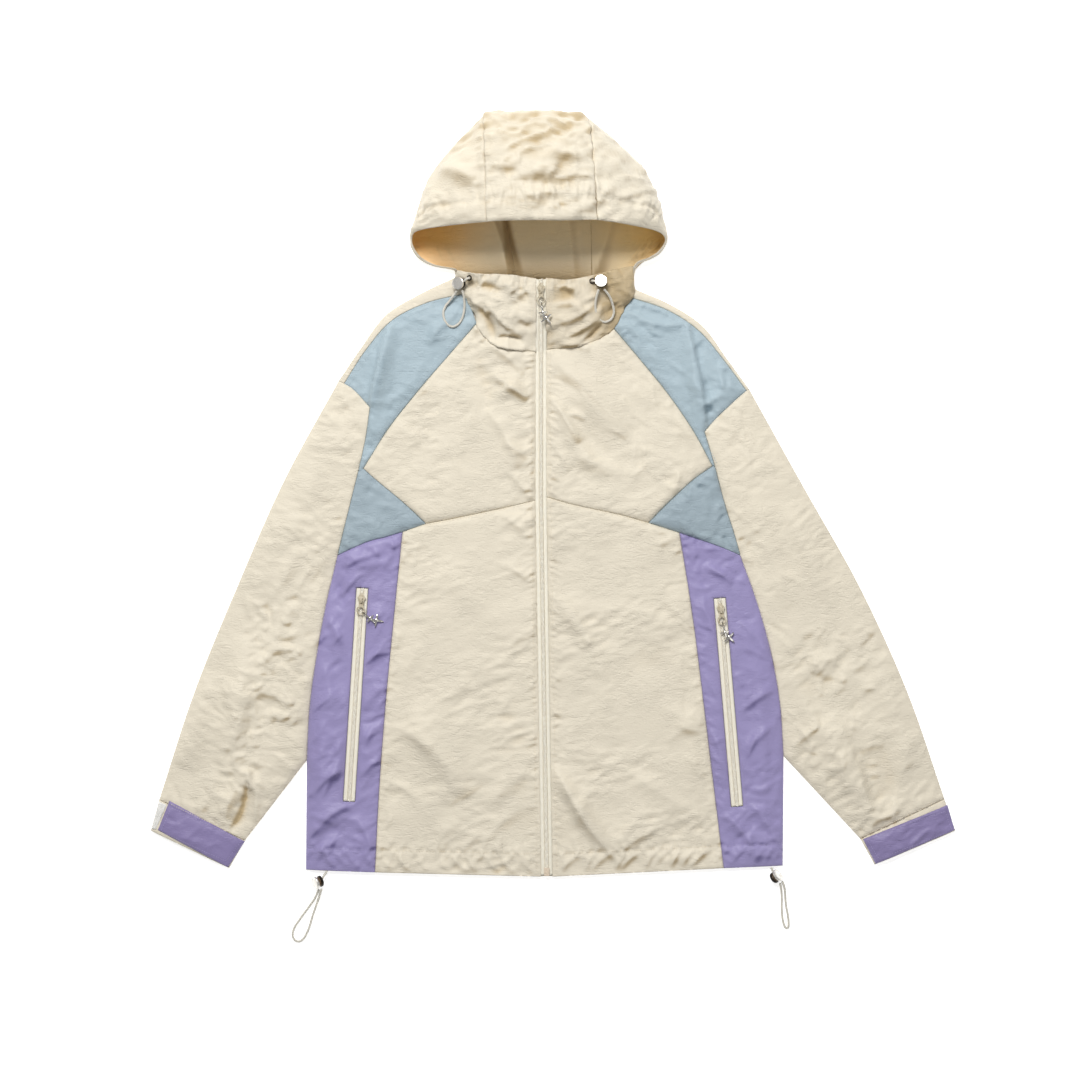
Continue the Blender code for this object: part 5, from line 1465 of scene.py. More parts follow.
add_creases(HOOD_CREASES, HOOD_GAIN)
HOOD_STITCHES = (
    # a line from front to back or along the brim, spacing, length and height of its puckers
    (((-63, 800), (-66, 850), (-68, 905)), 6.0, 16, 1.0),
    (((67, 800), (62, 850), (58, 900)), 6.0, 16, 1.2),
    (((-148, 790), (-104, 800), (-60, 806), (0, 812), (60, 814), (108, 806), (146, 790)), 7.5, 18, 1.0),
)
for feet, *sizes in HOOD_STITCHES:
    curve = evenly(smooth_through(feet, 12), 60)
    for inward in (1.0, -1.0):
        pucker_seam(curve, inward, PUCKER_START, *sizes)
FAR_SIDE = far_side(relief + 0.6 * WAVES)


# %% Folds of the cloth inside the hood
INSIDE_CREASES = (
    # from x, y, to x, y, height, reach to its left and right, bend, crispness
    (-92, 860, -34, 690, 11.0, 12, 24, 8, 0.5), (-58, 850, -34, 690, 4.0, 7, 12, 3, 0.4),
    (-118, 850, -84, 690, 3.0, 20, 18, 6, 0.2), (20, 850, 40, 690, 4.5, 11, 22, 4, 0.4),
    (-8, 850, 6, 690, 2.6, 20, 20, 4, 0.2), (96, 850, 50, 690, 6.5, 14, 22, 5, 0.5),
    (116, 850, 92, 690, 3.0, 16, 18, 3, 0.3), (-148, 766, -132, 748, 2.6, 4, 4, 2, 0.7),
    (-138, 768, -120, 742, 3.0, 4, 4, 2, 0.7), (-124, 766, -108, 736, 2.6, 5, 5, 2, 0.7),
    (144, 766, 126, 748, 2.6, 4, 4, 2, 0.7), (134, 770, 116, 744, 3.0, 5, 4, 2, 0.7),
    (122, 768, 106, 740, 2.6, 5, 5, 2, 0.7),
)
inside_relief = np.zeros(GRID_SHAPE)
add_creases(INSIDE_CREASES, 1.0, inside_relief)
print("folds inside the hood", len(INSIDE_CREASES))

# %% Sew the hood
def sew_hood():
    grid = hood_grid()
    normal = grid_normals(grid)
    under = grid[..., 2] <= 0.0
    normal[under] = (0.0, 0.0, -1.0)
    if normal[len(grid) // 2, 0, 2] < 0:
        normal[~under] *= -1
    # Slopes that face away from the light, inside the hood and on the small crinkles, for painted shade.
    turned_away = far_side(inside_relief, (-1.0, 0.2))
    crinkle_shade = far_side(1.6 * GRAINS[0.1])
    pieces = []
    for name, (first, last) in HOOD_PARTS.items():
        ribs = slice(first * RIB_STEPS, last * RIB_STEPS + 1)
        part, facing = grid[ribs].copy(), normal[ribs]
        for edge, neighbour in ((0, 1), (-1, -2)):
            run = unit(np.gradient(part[edge], axis=0))
            away = part[neighbour] - part[edge]
            away -= run * np.sum(away * run, axis=1, keepdims=True)
            part[edge] += unit(away) * HOOD_SEAM_GAP
        lift = hood_relief(part, name)
        outer = part + facing * lift[..., None]
        outer[..., 2] = np.maximum(outer[..., 2], 0.0)
        inner = outer - WALL * facing
        depth_in = np.clip((np.arange(lift.shape[1]) - RIB_ARC - 1) / 3.0, 0.0, 1.0)
        folded = read_over(inside_relief, inner) + 0.5 * read_over(WAVES, inner)
        inner[..., 2] += np.maximum(folded, 0.0) * depth_in
        within = np.zeros(lift.shape)
        within[:, RIB_ARC + 1:] = 1.0
        piece = grid_wall(f"{name}_cloth", outer, inner, CLOTHS["cream"], "cream")
        # Painted shade inside the hood: darker on folds that face away from the light, a painted shadow of
        # the brim across the bottom of the opening (weaker at the wearer's left end), and a dark line along
        # both seams.
        inner_shade = -10.0 * read_over(turned_away, inner) * depth_in
        near_lip = np.clip((756 - inner[..., 1]) / 34, 0, 1) * np.clip((110 - inner[..., 0]) / 60, 0.2, 1)
        inner_shade -= 5.0 * near_lip * depth_in
        inner_shade[[0, -1]] -= 2.5 * depth_in
        # Painted shade on the outside of the hood: darker on slopes and small crinkles that face away from
        # the light, darker where the cloth faces the head end and the lamp, darker everywhere but the
        # wearer's left end, and darker in its dips.
        outer_shade = -4.0 * read_over(FAR_SIDE, part) - 5.0 * read_over(crinkle_shade, part)
        outer_shade -= 1.4 * np.clip(facing[..., 1], 0, 1) + np.clip((70 - part[..., 0]) / 40, 0, 1)
        outer_shade = outer_shade * (within == 0) + np.minimum(lift, 0.0) * 0.3
        mark(piece, "hollow", np.concatenate((outer_shade.reshape(-1), inner_shade.reshape(-1))))
        # Share of the painted golden glow: half on the inside of the crown, full deeper in, less towards
        # the bottom of the opening.
        glow_share = 0.5 + within * (0.5 - 0.4 * np.clip((764 - inner[..., 1]) / 22, 0, 1))
        mark(piece, "within", np.concatenate((0 * within.reshape(-1), glow_share.reshape(-1))))
        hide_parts(name)
        pieces.append((piece, part))
    return pieces


sew_hood()

# %% [markdown]
# ## Cuff tabs
#
# A tab of the purple cloth lies over each cuff, stitched along its edges. It is two layers of cloth, so it
# is a little thicker than the rest and its edges are rounded.

# %% Lay the tabs
TABS = {
    "r": ((445, 92), (355, 43), (375, 12), (459, 57)),
    "l": ((487, 87), (386, 46), (401, 16), (496, 57)),
}
HOOK_PATCH = ((458, 91), (448.6, 87), (461.6, 57.5), (466.8, 58.5))


def in_patch(corners, u, v):
    """Places between four corners: u runs from the outer side to the inner, v from the top to the end."""
    outer_top, inner_top, inner_end, outer_end = [np.array(corner, float) for corner in corners]
    start = outer_top + (outer_end - outer_top) * v
    end = inner_top + (inner_end - inner_top) * v
    return start + (end - start) * u


def patch_bed(x, y):
    """The cloth below a stiff patch, which bridges half of its crumple."""
    smooth = surface_height(x, y)
    return 0.5 * (smooth + read_grid(relief, x, y) + read_grid(WAVES, x, y)) + 0.5 * smooth


def laid_patch(name, side, corners, across, along, thickness, finish, slot, puff=0.0):
    v = np.linspace(0, 1, along + 1)[:, None, None]
    u = np.linspace(0, 1, across + 1)[None, :, None]
    plan = in_patch(corners, u, v)
    x, y = plan[..., 0] * SIDES[side], plan[..., 1]
    base = patch_bed(x, y)
    width = math.dist(corners[0], corners[3])
    length = math.dist(corners[0], corners[1])
    to_rim = np.minimum(np.minimum(u, 1 - u) * length, np.minimum(v, 1 - v) * width)[..., 0]
    lift = 0.7 + thickness * (1 - 0.75 * np.exp(-(to_rim / 0.9) ** 1.5))
    lift = lift + puff * (1 - np.exp(-to_rim / 3.5)) + 0.6 * read_grid(WAVES, x + 60, y + 200)
    lift = lift + puff * 0.9 * read_grid(GRAINS[0.5], x, y) * (1 - np.exp(-to_rim / 3.5))
    lift = lift - 0.35 * np.exp(-(to_rim - 4.0) ** 2)
    outer = np.dstack((x, y, base + lift))
    inner = np.dstack((x, y, base + 0.35))
    rim = ((0, 0, -1, -1), (0, -1, -1, 0))
    return grid_wall(name, outer, inner, finish, slot), np.column_stack((x[rim], y[rim]))


def lay_tabs():
    for side, corners in TABS.items():
        piece, loop = laid_patch(f"cuff_tab_{side}_cloth", side, corners, 72, 24, 1.3,
                                 CLOTHS["tab"], "purple", 0.9)
        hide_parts(f"cuff_tab_{side}")
        declare_sheet(piece, loop, 1.0)


lay_tabs()

# %% [markdown]
# ## Tools for small hard pieces
#
# Sliders, pulls, locks and charms are a few millimetres long. Each is modelled at the origin in its own
# frame, from a primitive that is extruded, cut or joined, and gets rounded edges, because a cast edge is
# never sharp. Then it is moved to its place, and that place is applied to its mesh.

# %% Helpers for hard pieces
def deselect():
    bpy.ops.object.select_all(action="DESELECT")


def mode(name):
    bpy.ops.object.mode_set(mode=name)


def edit_all():
    mode("EDIT")
    bpy.ops.mesh.select_all(action="SELECT")


def select_only(piece):
    deselect()
    piece.select_set(True)
    bpy.context.view_layer.objects.active = piece


def block(low, high):
    """A box between two corners, in millimetres."""
    low, high = np.array(low) * MM, np.array(high) * MM
    deselect()
    bpy.ops.mesh.primitive_cube_add(size=1.0, location=(low + high) / 2, scale=high - low)
    bpy.ops.object.transform_apply()
    return bpy.context.active_object


def drum(radius, low, high, centre=(0.0, 0.0), around=40):
    place = (centre[0] * MM, centre[1] * MM, (low + high) / 2 * MM)
    deselect()
    bpy.ops.mesh.primitive_cylinder_add(vertices=around, radius=radius * MM,
                                        depth=(high - low) * MM, location=place)
    bpy.ops.object.transform_apply()
    return bpy.context.active_object


def reshape(factors, move=(0.0, 0.0, 0.0)):
    """Resizes and moves all of the active piece in edit mode."""
    edit_all()
    bpy.ops.transform.resize(value=factors, center_override=(0.0, 0.0, 0.0))
    bpy.ops.transform.translate(value=move)
    mode("OBJECT")


def torus(radius, wire, squash=1.0, around=32, section=10):
    deselect()
    bpy.ops.mesh.primitive_torus_add(major_segments=around, minor_segments=section,
                                     major_radius=radius * MM, minor_radius=wire * MM)
    reshape((1.0, 1.0, squash))
    bpy.ops.object.shade_smooth()
    return bpy.context.active_object


def combine(piece, other, operation):
    """Joins another piece to this one or cuts it away. The other piece is used up."""
    change = piece.modifiers.new("change", "BOOLEAN")
    change.operation = operation
    change.object = other
    select_only(piece)
    bpy.ops.object.modifier_apply(modifier="change")
    bpy.data.objects.remove(other)
    return piece


def round_edges(piece, width, segments=2):
    edges = piece.modifiers.new("edges", "BEVEL")
    edges.width = width * MM
    edges.segments = segments
    edges.angle_limit = math.radians(32)
    select_only(piece)
    bpy.ops.object.modifier_apply(modifier="edges")
    bpy.ops.object.shade_smooth_by_angle(angle=math.radians(38))
    return piece


def select_face(piece, toward):
    """Edit mode with only the face that lies farthest one way and faces that way."""
    toward = Vector(toward)
    faces = [face for face in piece.data.polygons if face.normal.dot(toward) > 0.9]
    wanted = max(faces, key=lambda face: face.center.dot(toward))
    index, centre = wanted.index, wanted.center.copy()
    mode("EDIT")
    bpy.ops.mesh.select_mode(type="FACE")
    bpy.ops.mesh.select_all(action="DESELECT")
    mode("OBJECT")
    piece.data.polygons[index].select = True
    mode("EDIT")
    return centre


def pull_out(piece, toward, steps):
    """Extrudes one face in steps. Each step is a distance in millimetres and a change of size."""
    centre = select_face(piece, toward)
    for distance, size in steps:
        move = Vector(toward) * distance * MM
        bpy.ops.mesh.extrude_region_move(TRANSFORM_OT_translate={"value": move})
        centre = centre + move
        bpy.ops.transform.resize(value=(size, size, size), center_override=centre)
    mode("OBJECT")


def settle(piece, name, place, finish, node, body="jacket"):
    """Puts a finished piece where it belongs, names it and hides the solid that it replaces."""
    piece.name = piece.data.name = name
    select_only(piece)
    piece.matrix_world = place
    bpy.ops.object.transform_apply()
    piece.data.materials.clear()
    piece.data.materials.append(finish.material)
    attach(piece, body)
    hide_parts(node)
    return piece


def repeated(name, pattern, places, finish, slot, lays):
    """One mesh from a pattern copied to many places, each with its own three axes."""
    corners = np.array([tuple(vertex.co) for vertex in pattern.data.vertices]) / MM
    patches = [tuple(face.vertices) for face in pattern.data.polygons]
    bpy.data.objects.remove(pattern)
    points, faces = [], []
    for index, (place, axes) in enumerate(zip(places, lays)):
        points.append(corners @ np.asarray(axes) + place)
        start = index * len(corners)
        faces.extend(tuple(start + i for i in patch) for patch in patches)
    return add_piece(name, np.vstack(points), faces, finish, slot)


# %% [markdown]
# ## Metal, enamel and plastic
#
# The charms and lock caps are bright plated metal, the drums of the locks are dark, and the sliders wear
# cream enamel. Plating is never even, so a fine noise stirs the roughness and a very shallow one breaks
# up the reflections.

# %% Finishes of the hard pieces
def metal_finish(name, bright, dull, roughness, metallic, grain, depth):
    finish = Finish(name, roughness=roughness, metallic=metallic)
    cloud = finish.noise(grain, 3.0, 0.6)
    scratch = finish.noise(1.0, vector=finish.stretched((0.0040, 0.0003, 0.0010), 0.6))
    worn = finish.band(cloud * 0.7 + scratch * 0.3, 0.35, 0.7)
    finish.colour(finish.blend(worn, linear(bright), linear(dull)))
    finish.rough(worn, 0.0, 1.0, roughness - 0.06, roughness + 0.1)
    finish.bump(cloud * 0.6 + scratch * 0.4, depth)
    return finish


SILVER = metal_finish("silver_plate", "f3f0ea", "cfcac0", 0.16, 1.0, 420.0, 0.00004)
SATIN = metal_finish("satin_plate", "efece6", "d6d2ca", 0.34, 0.85, 200.0, 0.00001)
DARK = metal_finish("dark_plate", "34302c", "4a443d", 0.34, 0.85, 500.0, 0.00004)
BARREL = metal_finish("bronzed_barrel", "7a6650", "5c4a39", 0.42, 0.55, 500.0, 0.00004)
ENAMEL = metal_finish("cream_enamel", "d0c6b0", "9f9176", 0.26, 0.0, 300.0, 0.00003)
MOULDED = metal_finish("beige_plastic", "ddcdb8", "cdbca5", 0.42, 0.0, 600.0, 0.00005)
print("metal, enamel and plastic finishes", 6)

# %% [markdown]
# ## Zips
#
# A coil zip is two woven tapes with a nylon spiral sewn to the edge of each. From above, every turn of a
# spiral is a short rounded bar, and the bars of the two sides lie between each other. One bar is
# modelled and copied along the line of the zip. The tape dips where the coil is sewn on, and shade is
# painted into the tape's colour in that dip, beside the coil and at its outer edge.

# %% The line of each zip
ZIP_DROP = 0.5
COIL_RISE = 1.4
TOOTH_PITCH = 1.45


def zip_x(y):
    return 7.0 * max(0.0, 452.0 - y) / 452.0


def zip_z(y):
    rise = min(max((y - NECK_LEVEL) / (COLLAR_LEVEL - NECK_LEVEL), 0.0), 1.0)
    base_y = min(y, NECK_LEVEL)
    base = float(surface_height(zip_x(base_y), base_y))
    return base + (COLLAR_TOP_Z - base) * math.sin(math.pi / 2 * rise)


def centre_line():
    levels = np.linspace(3.0, COLLAR_LEVEL - 1.0, 110)
    return np.array([(zip_x(y), y, zip_z(y) - ZIP_DROP) for y in levels])


def pocket_line(side):
    top, bottom, run = pocket_ends(side)
    line = evenly(np.array((bottom - run * 0.6, top + run * 0.6)), 60)
    return np.column_stack((line, surface_height(*line.T) - ZIP_DROP))


def tape_finish():
    finish = Finish("woven_tape", roughness=0.75, sheen=0.15)
    across, along = finish.across_and_along(finish.places())
    rib = across.math("SINE", across * 9000.0 + along * 2600.0)
    pick = across.math("SINE", along * 7000.0)
    weave = rib * 0.6 + pick * 0.4
    dirt = finish.noise(180.0, 3.0)
    tone = finish.blend(finish.band(weave, -0.9, 0.9), linear("efe8d5"), linear("fcf8ea"))
    tone = finish.blend(finish.band(dirt, 0.35, 0.7) * 0.3, tone, linear("eae2cd"))
    # Painted shade: darker in the dip where the coil is sewn on, beside the coil and at the tape's outer
    # edge.
    tone = finish.blend(finish.attribute("groove"), tone, linear("bfb294"))
    finish.colour(tone)
    finish.bump(weave * 0.5 + dirt * 0.2, 0.00025)
    return finish


def coil_finish():
    finish = Finish("nylon_coil", roughness=0.38)
    cloud = finish.noise(300.0)
    finish.colour(finish.blend(finish.band(cloud, 0.3, 0.7), linear("fdf9ec"), linear("f6efdf")))
    finish.rough(cloud, 0.2, 0.8, 0.32, 0.46)
    finish.bump(cloud, 0.00008)
    return finish


TAPE = tape_finish()
COIL = coil_finish()
print("centre zip", round(length_of(centre_line())), "mm")

# %% Weave the tapes and set the coils
TAPE_SECTION = (
    # out, rise, how much painted shade
    (0.3, -0.1, 0.1), (1.8, -0.1, 0.15), (2.2, -0.35, 0.6), (2.5, -0.25, 0.5), (2.8, 0.0, 0.0),
    (3.9, 0.12, 0.0), (5.0, 0.1, 0.0), (5.7, 0.0, 0.05), (6.9, -0.3, 0.3),
)


def line_frames(line):
    run = unit(np.gradient(line, axis=0))
    across = unit(np.column_stack((run[:, 1], -run[:, 0], np.zeros(len(run)))))
    return run, across, np.cross(across, run)


def weave_tape(name, line, sign, node):
    line = evenly(line, round(length_of(line) / 2.0))
    _, across, up = line_frames(line)
    out = np.array([row[0] for row in TAPE_SECTION]) * sign
    rise = np.array([row[1] for row in TAPE_SECTION])
    outer = line[:, None] + across[:, None] * out[:, None] + up[:, None] * rise[:, None]
    inner = outer - up[:, None] * 1.1
    tape = grid_wall(name, outer, inner, TAPE, "zip")
    # How much painted shade each point of the section gets.
    dark = np.tile([row[2] for row in TAPE_SECTION], 2 * len(line))
    mark(tape, "groove", dark)
    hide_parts(node)
    return tape


def set_coil(name, line, sign, node):
    deselect()
    bpy.ops.mesh.primitive_uv_sphere_add(segments=8, ring_count=5, radius=1.0 * MM)
    bar = bpy.context.active_object
    reshape((1.36, 0.60, 0.78), (0.95 * MM, 0.0, 0.62 * MM))
    places = evenly(line, round(length_of(line) / TOOTH_PITCH))
    run, across, up = line_frames(places)
    if sign < 0:
        places = (places[1:] + places[:-1]) / 2
        run, across, up = run[1:], across[1:], up[1:]
    slant = run * 0.14
    lays = [np.array(((a + s) * sign, r * sign, u)) for a, s, r, u in zip(across, slant, run, up)]
    coil = repeated(name, bar, places, COIL, "zip", lays)
    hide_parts(node)
    return coil


def make_zips():
    teeth = 0
    for side, sign in SIDES.items():
        weave_tape(f"zip_tape_{side}_woven", centre_line(), sign, f"zip_tape_{side}")
        teeth += len(set_coil(f"zip_coil_{side}", centre_line(), sign, f"zip_tape_{side}").data.polygons)
    for side in SIDES:
        for sign, half in ((-1.0, "outer"), (1.0, "inner")):
            weave_tape(f"pocket_tape_{side}_{half}", pocket_line(side), sign, f"pocket_zip_{side}")
            coil = set_coil(f"pocket_coil_{side}_{half}", pocket_line(side), sign, f"pocket_zip_{side}")
            teeth += len(coil.data.polygons)
    print("faces of the coils", teeth)


make_zips()

# %% The box at the foot of the zip
def make_zip_box():
    box_z = zip_z(12.0) - ZIP_DROP + COIL_RISE + 0.3
    box = block((-3.2, 2.5, 0.0), (3.2, 12.0, 1.4))
    box = combine(box, block((-0.35, 7.0, 0.9), (0.35, 13.0, 2.0)), "DIFFERENCE")
    box = combine(box, block((-3.3, 4.0, 1.1), (3.3, 4.5, 2.0)), "DIFFERENCE")
    round_edges(box, 0.3)
    place = Matrix.Translation(Vector(to_world((zip_x(7.0), 0.0, box_z))))
    settle(box, "zip_box_moulded", place, MOULDED, "zip_box")


make_zip_box()

# %% [markdown]
# ## Sliders and pulls
#
# A slider is a wedge-shaped plate that rides on the coil, with a bridge over it. The pull is a flat bar
# with a slot at the bridge and a round eye at its free end. A boolean joins and cuts their simple blocks,
# and the bevel comes last, so every new edge is rounded too.

# %% Model a slider
def model_slider():
    plate = block((-5.0, -5.6, -3.2), (5.0, 9.4, -1.5))
    for co, out in (((4.6, -1.5), (4.1, -1.6)), ((5.0, 3.0), (4.5, -0.4)), ((5.0, 3.0), (6.4, 0.8))):
        for sign in (1.0, -1.0):
            edit_all()
            bpy.ops.mesh.bisect(plane_co=(sign * co[0] * MM, co[1] * MM, 0.0),
                                plane_no=(sign * out[0], out[1], 0.0), use_fill=True, clear_outer=True)
            mode("OBJECT")
    bridge = block((-1.1, -3.4, -1.9), (1.1, 3.4, 2.1))
    bridge = combine(bridge, block((-2.0, -1.7, -3.0), (2.0, 1.7, 1.1)), "DIFFERENCE")
    plate = combine(plate, bridge, "UNION")
    return round_edges(plate, 0.4, 3)


# %% Model a pull
def model_pull():
    pull = drum(5.3, -0.65, 0.65, (0.0, -12.0), 48)
    pull = combine(pull, block((-2.8, -9.0, -0.65), (2.8, 0.75, 0.65)), "UNION")
    pull = combine(pull, drum(3.9, -2.0, 2.0, (0.0, -12.2), 40), "DIFFERENCE")
    pull = combine(pull, block((-1.7, -4.6, -2.0), (1.7, -0.75, 2.0)), "DIFFERENCE")
    return round_edges(pull, 0.3, 3)


# %% [markdown]
# ## Star charms
#
# Two six-armed stars hang from each pull by a small ring. A star grows from a little cube: each face is
# pulled out and made smaller in steps, which gives the hollow curve from a thick root to a thin tip.

# %% Model a star
def model_star(reach_x, reach_y, reach_z, root):
    star = block((-root, -root, -root), (root, root, root))
    for axis, reach in enumerate((reach_x, reach_y, reach_z)):
        for sign in (1.0, -1.0):
            toward = [0.0, 0.0, 0.0]
            toward[axis] = sign
            steps = ((0.16, 0.86), (0.40, 0.86), (0.40, 0.58), (0.04, 0.4))
            pull_out(star, toward, [(share * (reach - root), size) for share, size in steps])
    return round_edges(star, 0.12, 1)


# %% Hang a pull with its charms on each zip
PULLS = {"main": 8.0, "pocket_r": 52.0, "pocket_l": 10.0}  # each pull, and how far its charms turn
STARS = (
    # name, its three reaches and its root, where it hangs from the ring, turn
    ("large", (7.8, 8.8, 1.9, 1.35), (3.4, -17.5, 0.0), 30),
    ("small", (5.8, 7.8, 1.8, 1.15), (0.0, -10.6, 0.3), 0),
)


def hinge_of(name):
    joint = next(j for j in frame["joints"] if j["name"] == f"{name}_pull_swing")
    axis = joint["axis"]
    pitch = math.atan2(zip_z(707.0) - zip_z(697.0), 10.0) if name == "main" else 0.0
    heading = math.atan2(-axis[1], -axis[0])
    turn = Matrix.Rotation(heading, 4, "Z") @ Matrix.Rotation(pitch, 4, "X")
    return Matrix.Translation(Vector(joint["pos_m"])) @ turn


def shifted(x, y, z):
    return Matrix.Translation(Vector((x, y, z)) * MM)


def hang_pull(name, charm_turn):
    hinge = hinge_of(name)
    rest = hinge @ Matrix.Rotation(math.radians(2), 4, "X")
    settle(model_slider(), f"{name}_slider_cast", hinge, ENAMEL, f"{name}_slider")
    body = f"{name}_pull"
    settle(model_pull(), f"{name}_pull_cast", rest, ENAMEL, f"{name}_pull", body)
    turned = Matrix.Rotation(math.radians(charm_turn), 4, "Z")
    rim = turned @ Vector((0.0, -4.45, 0.0))
    ring_place = rest @ shifted(rim.x, rim.y - 12.1, 0.0) @ turned @ Matrix.Rotation(math.pi / 2, 4, "Y")
    settle(torus(1.9, 0.42), f"{name}_ring_wire", ring_place, DARK, f"{name}_ring", body)
    for size, reaches, (x, y, z), degrees in STARS:
        hung = turned @ Vector((x, y, 0.0))
        place = rest @ shifted(rim.x + hung.x, rim.y + hung.y - 12.0, z) @ turned
        place = place @ Matrix.Rotation(math.radians(degrees), 4, "Z")
        settle(model_star(*reaches), f"{name}_star_{size}", place, SILVER, f"{name}_star", body)


for pull_name, charm_turn in PULLS.items():
    hang_pull(pull_name, charm_turn)
print("pulls", ", ".join(PULLS))

# %% [markdown]
# ## Cord locks
#
# A cord lock is a short drum that grips the cord: a foot, a barrel and a wide cap. Each is turned on a
# lathe, so it is modelled as one: a disc is pulled up in steps, and made wider or narrower at each.

# %% Turn the parts of a lock
LOCK_PARTS = {
    # part: finish, slot, radius and height of each ring
    "foot": (DARK, "gunmetal", (
        (6.2, 0.0), (6.6, 0.2), (6.8, 0.6), (6.8, 2.3), (6.5, 2.6), (5.5, 2.9), (5.3, 3.2))),
    "barrel": (BARREL, "gunmetal", (
        (5.2, 2.9), (5.4, 3.1), (5.4, 4.2), (5.1, 4.4), (5.1, 4.7), (5.4, 4.9), (5.4, 6.1), (5.2, 6.5))),
    "cap": (SATIN, "silver", (
        (5.0, 6.2), (6.7, 6.3), (7.3, 6.7), (7.5, 7.1), (7.5, 8.4), (7.3, 8.9), (6.8, 9.2), (6.1, 9.2),
        (5.9, 9.0), (5.6, 9.0), (5.4, 9.15), (1.0, 9.2))),
}
LOCKS = {
    # name: place of the foot, turned about X, Y and Z
    "hood_lock_r": ((-96, 711, 12.6), (0, -24, 0)),
    "hood_lock_l": ((72, 711, 26.0), (-12, -5, 0)),
    "hem_lock_r": ((-263.2, -3.9, 6.2), (60, 0, -74)),
    "hem_lock_l": ((278.4, -1.0, 6.2), (60, 0, 130)),
}


def placed(place, turns):
    turn = Matrix.Identity(3)
    for axis, degrees in zip("XYZ", turns):
        turn = Matrix.Rotation(math.radians(degrees), 3, axis) @ turn
    return Matrix.Translation(Vector(to_world(place))) @ turn.to_4x4()


def turn_part(rings, around=48):
    radius, height = rings[0]
    deselect()
    bpy.ops.mesh.primitive_circle_add(vertices=around, radius=radius * MM, fill_type="NGON",
                                      location=(0.0, 0.0, height * MM))
    bpy.ops.object.transform_apply()
    part = bpy.context.active_object
    edit_all()
    for next_radius, next_height in rings[1:]:
        move = (0.0, 0.0, (next_height - height) * MM)
        bpy.ops.mesh.extrude_region_move(TRANSFORM_OT_translate={"value": move})
        share = next_radius / radius
        middle = (0.0, 0.0, next_height * MM)
        bpy.ops.transform.resize(value=(share, share, 1.0), center_override=middle)
        radius, height = next_radius, next_height
    bpy.ops.mesh.select_all(action="SELECT")
    bpy.ops.mesh.normals_make_consistent(inside=False)
    mode("OBJECT")
    bpy.ops.object.shade_smooth_by_angle(angle=math.radians(20))
    return part


def make_locks():
    for name, (place, turns) in LOCKS.items():
        for part, (finish, slot, rings) in LOCK_PARTS.items():
            settle(turn_part(rings), f"{name}_{part}", placed(place, turns), finish, name)


make_locks()
print("cord locks", len(LOCKS))

# %% [markdown]
# ## Eyelets
#
# A metal eyelet rims each hole where a cord comes out of the hood. It is a ring pressed flat.

# %% Press the eyelets
EYELETS = {
    "eyelet_r": ((-85.5, 717.0, 20.4), (0, -22, 0)),
    "eyelet_l": ((61, 713, 26.3), (0, 0, 0)),
}


def make_eyelets():
    for name, (place, turns) in EYELETS.items():
        rim = torus(2.7, 0.9, 0.5, 40, 12)
        raised = placed(place, turns) @ shifted(0, 0, 0.45)
        settle(rim, f"{name}_pressed", raised, DARK, name)


make_eyelets()
print("eyelets", len(EYELETS))

# %% [markdown]
# ## Cord ends that go in
#
# Between a lock and the hole that its cord comes from, a short bare stretch of cord shows. Each is a small
# tube along a bent line of a few points.

# %% Short stretches of cord
INLETS = {
    "hood_cord_r": ((-91.5, 713.5, 19.8), (-89.2, 715.6, 21.6), (-86.6, 716.8, 21.8), (-85.5, 717.0, 20.0)),
    "hood_cord_l": ((66.5, 711.6, 29.6), (64.2, 712.6, 30.0), (62.0, 713.0, 28.6), (61.0, 713.0, 26.4)),
    "hem_cord_r": ((-262.5, -2.0, 7.4), (-260.0, 2.5, 6.4), (-257.5, 6.0, 5.2), (-256.0, 10.0, 4.4)),
    "hem_cord_l": ((281.5, 0.5, 8.0), (279.4, 4.6, 7.0), (277.4, 8.2, 5.6), (276.0, 12.0, 4.6)),
}


def make_inlets():
    inlets = {}
    for name, route in INLETS.items():
        curve = smooth_through(route, 5)
        inlets[name] = add_tube(f"{name}_inlet", curve, CORD_RADIUS, CORD_FINISH, "cord")
    return inlets


inlets = make_inlets()
for cord_name, (cord, curve) in cords.items():
    tuple(to_world(curve[0]))
    [tuple(point) for point in to_world(curve[::2])]
print("inlets", len(inlets))

# %% [markdown]
# ## Hook tape
#
# The white patch on the right cuff is hook tape: a stiff woven base with rows of tiny plastic hooks. A
# hook is one short bent post, copied in staggered rows.

# %% Hook tape and its hooks
def hook_finish():
    finish = Finish("hook_tape", roughness=0.6)
    grain = finish.noise(1600.0)
    finish.colour(finish.blend(finish.band(grain, 0.3, 0.7), linear("f2f1ee"), linear("d9d7d1")))
    finish.bump(grain, 0.0003)
    return finish


def make_hook_patch():
    finish = hook_finish()
    patch, loop = laid_patch("hook_patch_r_tape", "r", HOOK_PATCH, 12, 28, 0.5, finish, "hook_tape")
    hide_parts("hook_patch_r")
    declare_sheet(patch, loop, 1.0)
    places = []
    for row in range(22):
        for column in range(7):
            x, y = in_patch(HOOK_PATCH, (column + 0.6 + 0.4 * (row % 2)) / 7.8, (row + 0.7) / 22.8)
            places.append((-x, y, float(patch_bed(-x, y)) + 1.1))
    hook = block((-0.16, -0.16, 0.0), (0.16, 0.16, 0.5))
    pull_out(hook, (0.0, 0.0, 1.0), ((0.25, 0.8),))
    select_only(hook)
    pull_out(hook, (0.0, 1.0, 0.0), ((0.25, 0.6),))
    lays = [np.eye(3)] * len(places)
    hooks = repeated("hook_patch_r_hooks", hook, np.array(places), finish, "hook_tape", lays)
    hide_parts("hook_patch_r")
    print("hooks", len(places))


make_hook_patch()

